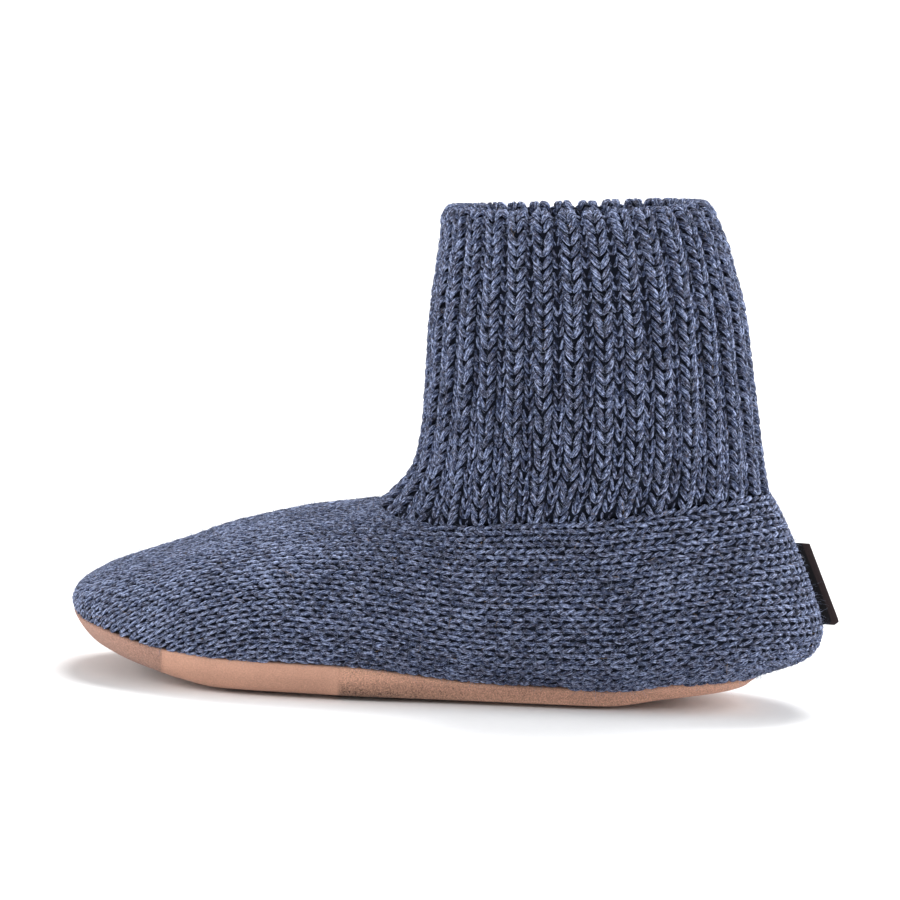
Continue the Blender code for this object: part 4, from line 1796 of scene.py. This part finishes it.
@dataclass(frozen=True)
class WoolHalo:
    """Loose fibres that stand off the knit."""

    form: FootForm
    fibre: bpy.types.Material
    foot_count: int = 13000
    shaft_count: int = 9000
    seeds: tuple[int, int, int] = (71, 5, 6)
    last_course: float = 34.0
    stray: float = 0.14
    length: tuple[float, float] = (0.0010, 0.0048)
    rarity: int = 3
    width: float = 0.000042
    taper: float = 1.15
    steps: int = 5
    upright: float = 0.8
    bending: float = 0.6
    curl: float = 0.6
    lying: float = 0.55
    arc: float = 0.7
    arc_height: float = 0.35
    rooted: float = 0.0008
    clear: float = 0.0006

    def strands(self, place: FabricMap, course: Array, wale: Array, seed: int) -> Mesh:
        """Bent ribbons that start in the fabric.

        Args:
            place: Where a course and a column of stitches lie.
            course: The course in which each starts.
            wale: The column in which each starts.
            seed: Seed of their bends.

        Returns:
            The ribbons' mesh.
        """
        chance = np.random.default_rng(seed)
        count = len(course)
        root, normal, _ = place.at(course, wale)
        way = unit(chance.normal(0, 1, (count, 3)) + normal * self.upright)
        bend = chance.normal(0, self.bending, (count, 3))[:, None]
        low, high = self.length
        length = (low + (high - low) * chance.random(count) ** self.rarity)[:, None, None]
        steps = np.linspace(0, 1, self.steps)[None, :, None]
        flat = way - normal * np.sum(way * normal, axis=-1, keepdims=True) * self.lying
        out = normal[:, None]
        path = root[:, None] - out * self.rooted
        path = path + (flat[:, None] * steps + bend * steps**2 * self.curl) * length
        lift = out * np.sin(steps * np.pi * self.arc) * length * self.arc_height
        path = path + lift + out * self.clear
        radius = self.width * (self.taper - steps[..., 0]) * np.ones((count, 1))
        normals = np.repeat(out, self.steps, axis=1)
        return tubes(path, normals, radius, np.radians([0.0, 180.0]), chance.random(count))

    def build(self) -> list[bpy.types.Object]:
        """The fibres' pieces, one for the foot and one for the shaft.

        Returns:
            The pieces, in that order.
        """
        own, foot_seed, shaft_seed = self.seeds
        chance = np.random.default_rng(own)
        parts = []
        for side in Side:
            place = FootMap(*self.form.side_cloth(side))
            course, wale = place.stitches()
            picked = chance.integers(0, len(course), self.foot_count // 2)
            shift = chance.random((2, len(picked)))
            over, beside = course[picked] + shift[0], wale[picked] + shift[1] - 0.5
            parts.append(self.strands(place, over, beside, foot_seed))
        place = SleeveMap(self.form.shaft.sleeve())
        course = chance.uniform(0, self.last_course, self.shaft_count)
        wale = chance.integers(0, self.form.shaft.ribs, self.shaft_count) + 0.5
        wale = wale + chance.normal(0, self.stray, self.shaft_count)
        foot = Mesh.joined(parts).piece("foot_fibres", [self.fibre])
        hairs = self.strands(place, course, wale, shaft_seed)
        shaft = hairs.piece("shaft_fibres", [self.fibre])
        return [foot, shaft]


@dataclass(frozen=True)
class Lamp:
    """A wide soft lamp, far enough away to light everything evenly."""

    name: str
    place: tuple[float, float, float]
    strength: float
    softness: float

    def build(self) -> None:
        """Hangs the lamp."""
        data = bpy.data.lights.new(self.name, "SUN")
        data.energy = self.strength
        data.angle = math.radians(self.softness)
        lamp = bpy.data.objects.new(self.name, data)
        lamp.location = self.place
        way = -Vector(self.place)
        lamp.rotation_euler = way.to_track_quat("-Z", "Y").to_euler()
        bpy.context.scene.collection.objects.link(lamp)


@dataclass(frozen=True)
class Studio:
    """The pale floor, the soft lights and the camera."""

    eye: tuple[float, float, float] = (-0.042, -1.300, 0.2498)
    target: tuple[float, float, float] = (-0.042, 0.0, 0.0858)
    roll: float = 3.6
    lens: float = 145.7
    sensor: float = 36.0
    sight: float = 50.0
    floor_pale: Colour = (0.88, 0.88, 0.88)
    floor_grey: Colour = (0.85, 0.85, 0.855)
    floor_reach: tuple[float, ...] = (-60.0, -3.0, 3.0, 60.0)
    band: tuple[float, float] = (0.03, 0.12)
    horizon: float = 1.05
    above: float = 0.60
    lamps: tuple[Lamp, ...] = (
        Lamp("overhead", (0.12, 0.50, 1.0), 2.75, 28.0),
        Lamp("left", (-1.0, -0.05, 0.42), 1.7, 32.0),
        Lamp("right", (1.0, 0.0, 0.52), 2.7, 32.0),
    )

    def camera(self) -> bpy.types.Object:
        """The camera, rolled as the picture is.

        Returns:
            The camera.
        """
        data = bpy.data.cameras.new("camera")
        data.lens = self.lens
        data.sensor_width = self.sensor
        data.clip_end = self.sight
        camera = bpy.data.objects.new("camera", data)
        eye, target = Vector(self.eye), Vector(self.target)
        ahead = (target - eye).normalized()
        right = ahead.cross(Vector((0, 0, 1))).normalized()
        above = right.cross(ahead)
        turn = math.radians(self.roll)
        x = right * math.cos(turn) + above * math.sin(turn)
        y = above * math.cos(turn) - right * math.sin(turn)
        camera.matrix_world = Matrix.Translation(eye) @ Matrix((x, y, -ahead)).transposed().to_4x4()
        bpy.context.scene.collection.objects.link(camera)
        bpy.context.scene.camera = camera
        return camera

    def floor(self) -> bpy.types.Object:
        """The wide pale floor.

        Returns:
            The floor's piece.
        """
        reach = np.array(self.floor_reach)
        grid = stack(reach[None, :], reach[:, None], 0.0)
        graph = Graph("pale_floor")
        grain = graph.noise(graph.place(), 300.0)
        colour = graph.ramp(grain, [(0.2, self.floor_grey), (0.8, self.floor_pale)])
        material = graph.finish(colour, graph.bump(grain, 0.00002), roughness=0.9)
        piece = Mesh.sheet(grid, grid).piece("pale_floor", [material])
        return piece

    def sky(self) -> None:
        """Soft light from all round, with a bright band behind the floor's edge."""
        world = bpy.data.worlds.new("studio")
        world.use_nodes = True
        tree = world.node_tree
        place = tree.nodes.new("ShaderNodeTexCoord")
        parts = tree.nodes.new("ShaderNodeSeparateXYZ")
        tree.links.new(place.outputs["Generated"], parts.inputs[0])
        ramp = tree.nodes.new("ShaderNodeMapRange")
        for key, value in enumerate((*self.band, self.horizon, self.above), start=1):
            ramp.inputs[key].default_value = value
        tree.links.new(parts.outputs[2], ramp.inputs[0])
        tree.links.new(ramp.outputs[0], tree.nodes["Background"].inputs["Strength"])
        tree.nodes["Background"].inputs["Color"].default_value = (0.98, 0.99, 1.0, 1.0)
        bpy.context.scene.world = world

    def build(self) -> None:
        """Sets up the whole studio."""
        self.camera()
        self.floor()
        self.sky()
        for lamp in self.lamps:
            lamp.build()
        settings = bpy.context.scene.view_settings
        settings.view_transform = "Standard"
        settings.look = "None"


def main() -> None:
    """Builds every piece in order and reports each."""
    logging.basicConfig(level=logging.INFO, format="%(name)s: %(message)s")
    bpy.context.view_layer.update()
    foot = FootForm()
    wool = WoolFinish().build("heathered_wool")
    # The fabric behind the stitches is coloured dark as painted shade in the holes.
    backing = PaintedShadeBackingFinish().build("knit_reverse_painted_shade")
    knit = KnitFoot(foot, wool, backing).build()
    ribs = RibbedShaft(foot.shaft, wool, backing).build()
    sole = SuedeSole(foot, SuedeFinish().build("napped_suede")).build()
    insole = FeltInsole(foot, FeltFinish().build("pressed_felt")).build()
    tab = HeelTab(foot, TabFinish().build("woven_tape")).build()
    fibres = WoolHalo(foot, FibreFinish().build("loose_fibre")).build()
    stands_for = {knit[0]: "foot_upper", ribs[0]: "ribbed_shaft", sole: "sole"}
    stands_for.update({insole: "insole", tab: "heel_tab"})
    for piece in [*knit, *ribs, sole, insole, tab, *fibres]:
        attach(piece, "root")
        if piece in stands_for:
            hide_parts(stands_for[piece])
        LOG.info("%s: %d faces", piece.name, len(piece.data.polygons))
    Studio().build()


if __name__ == "__main__":
    main()
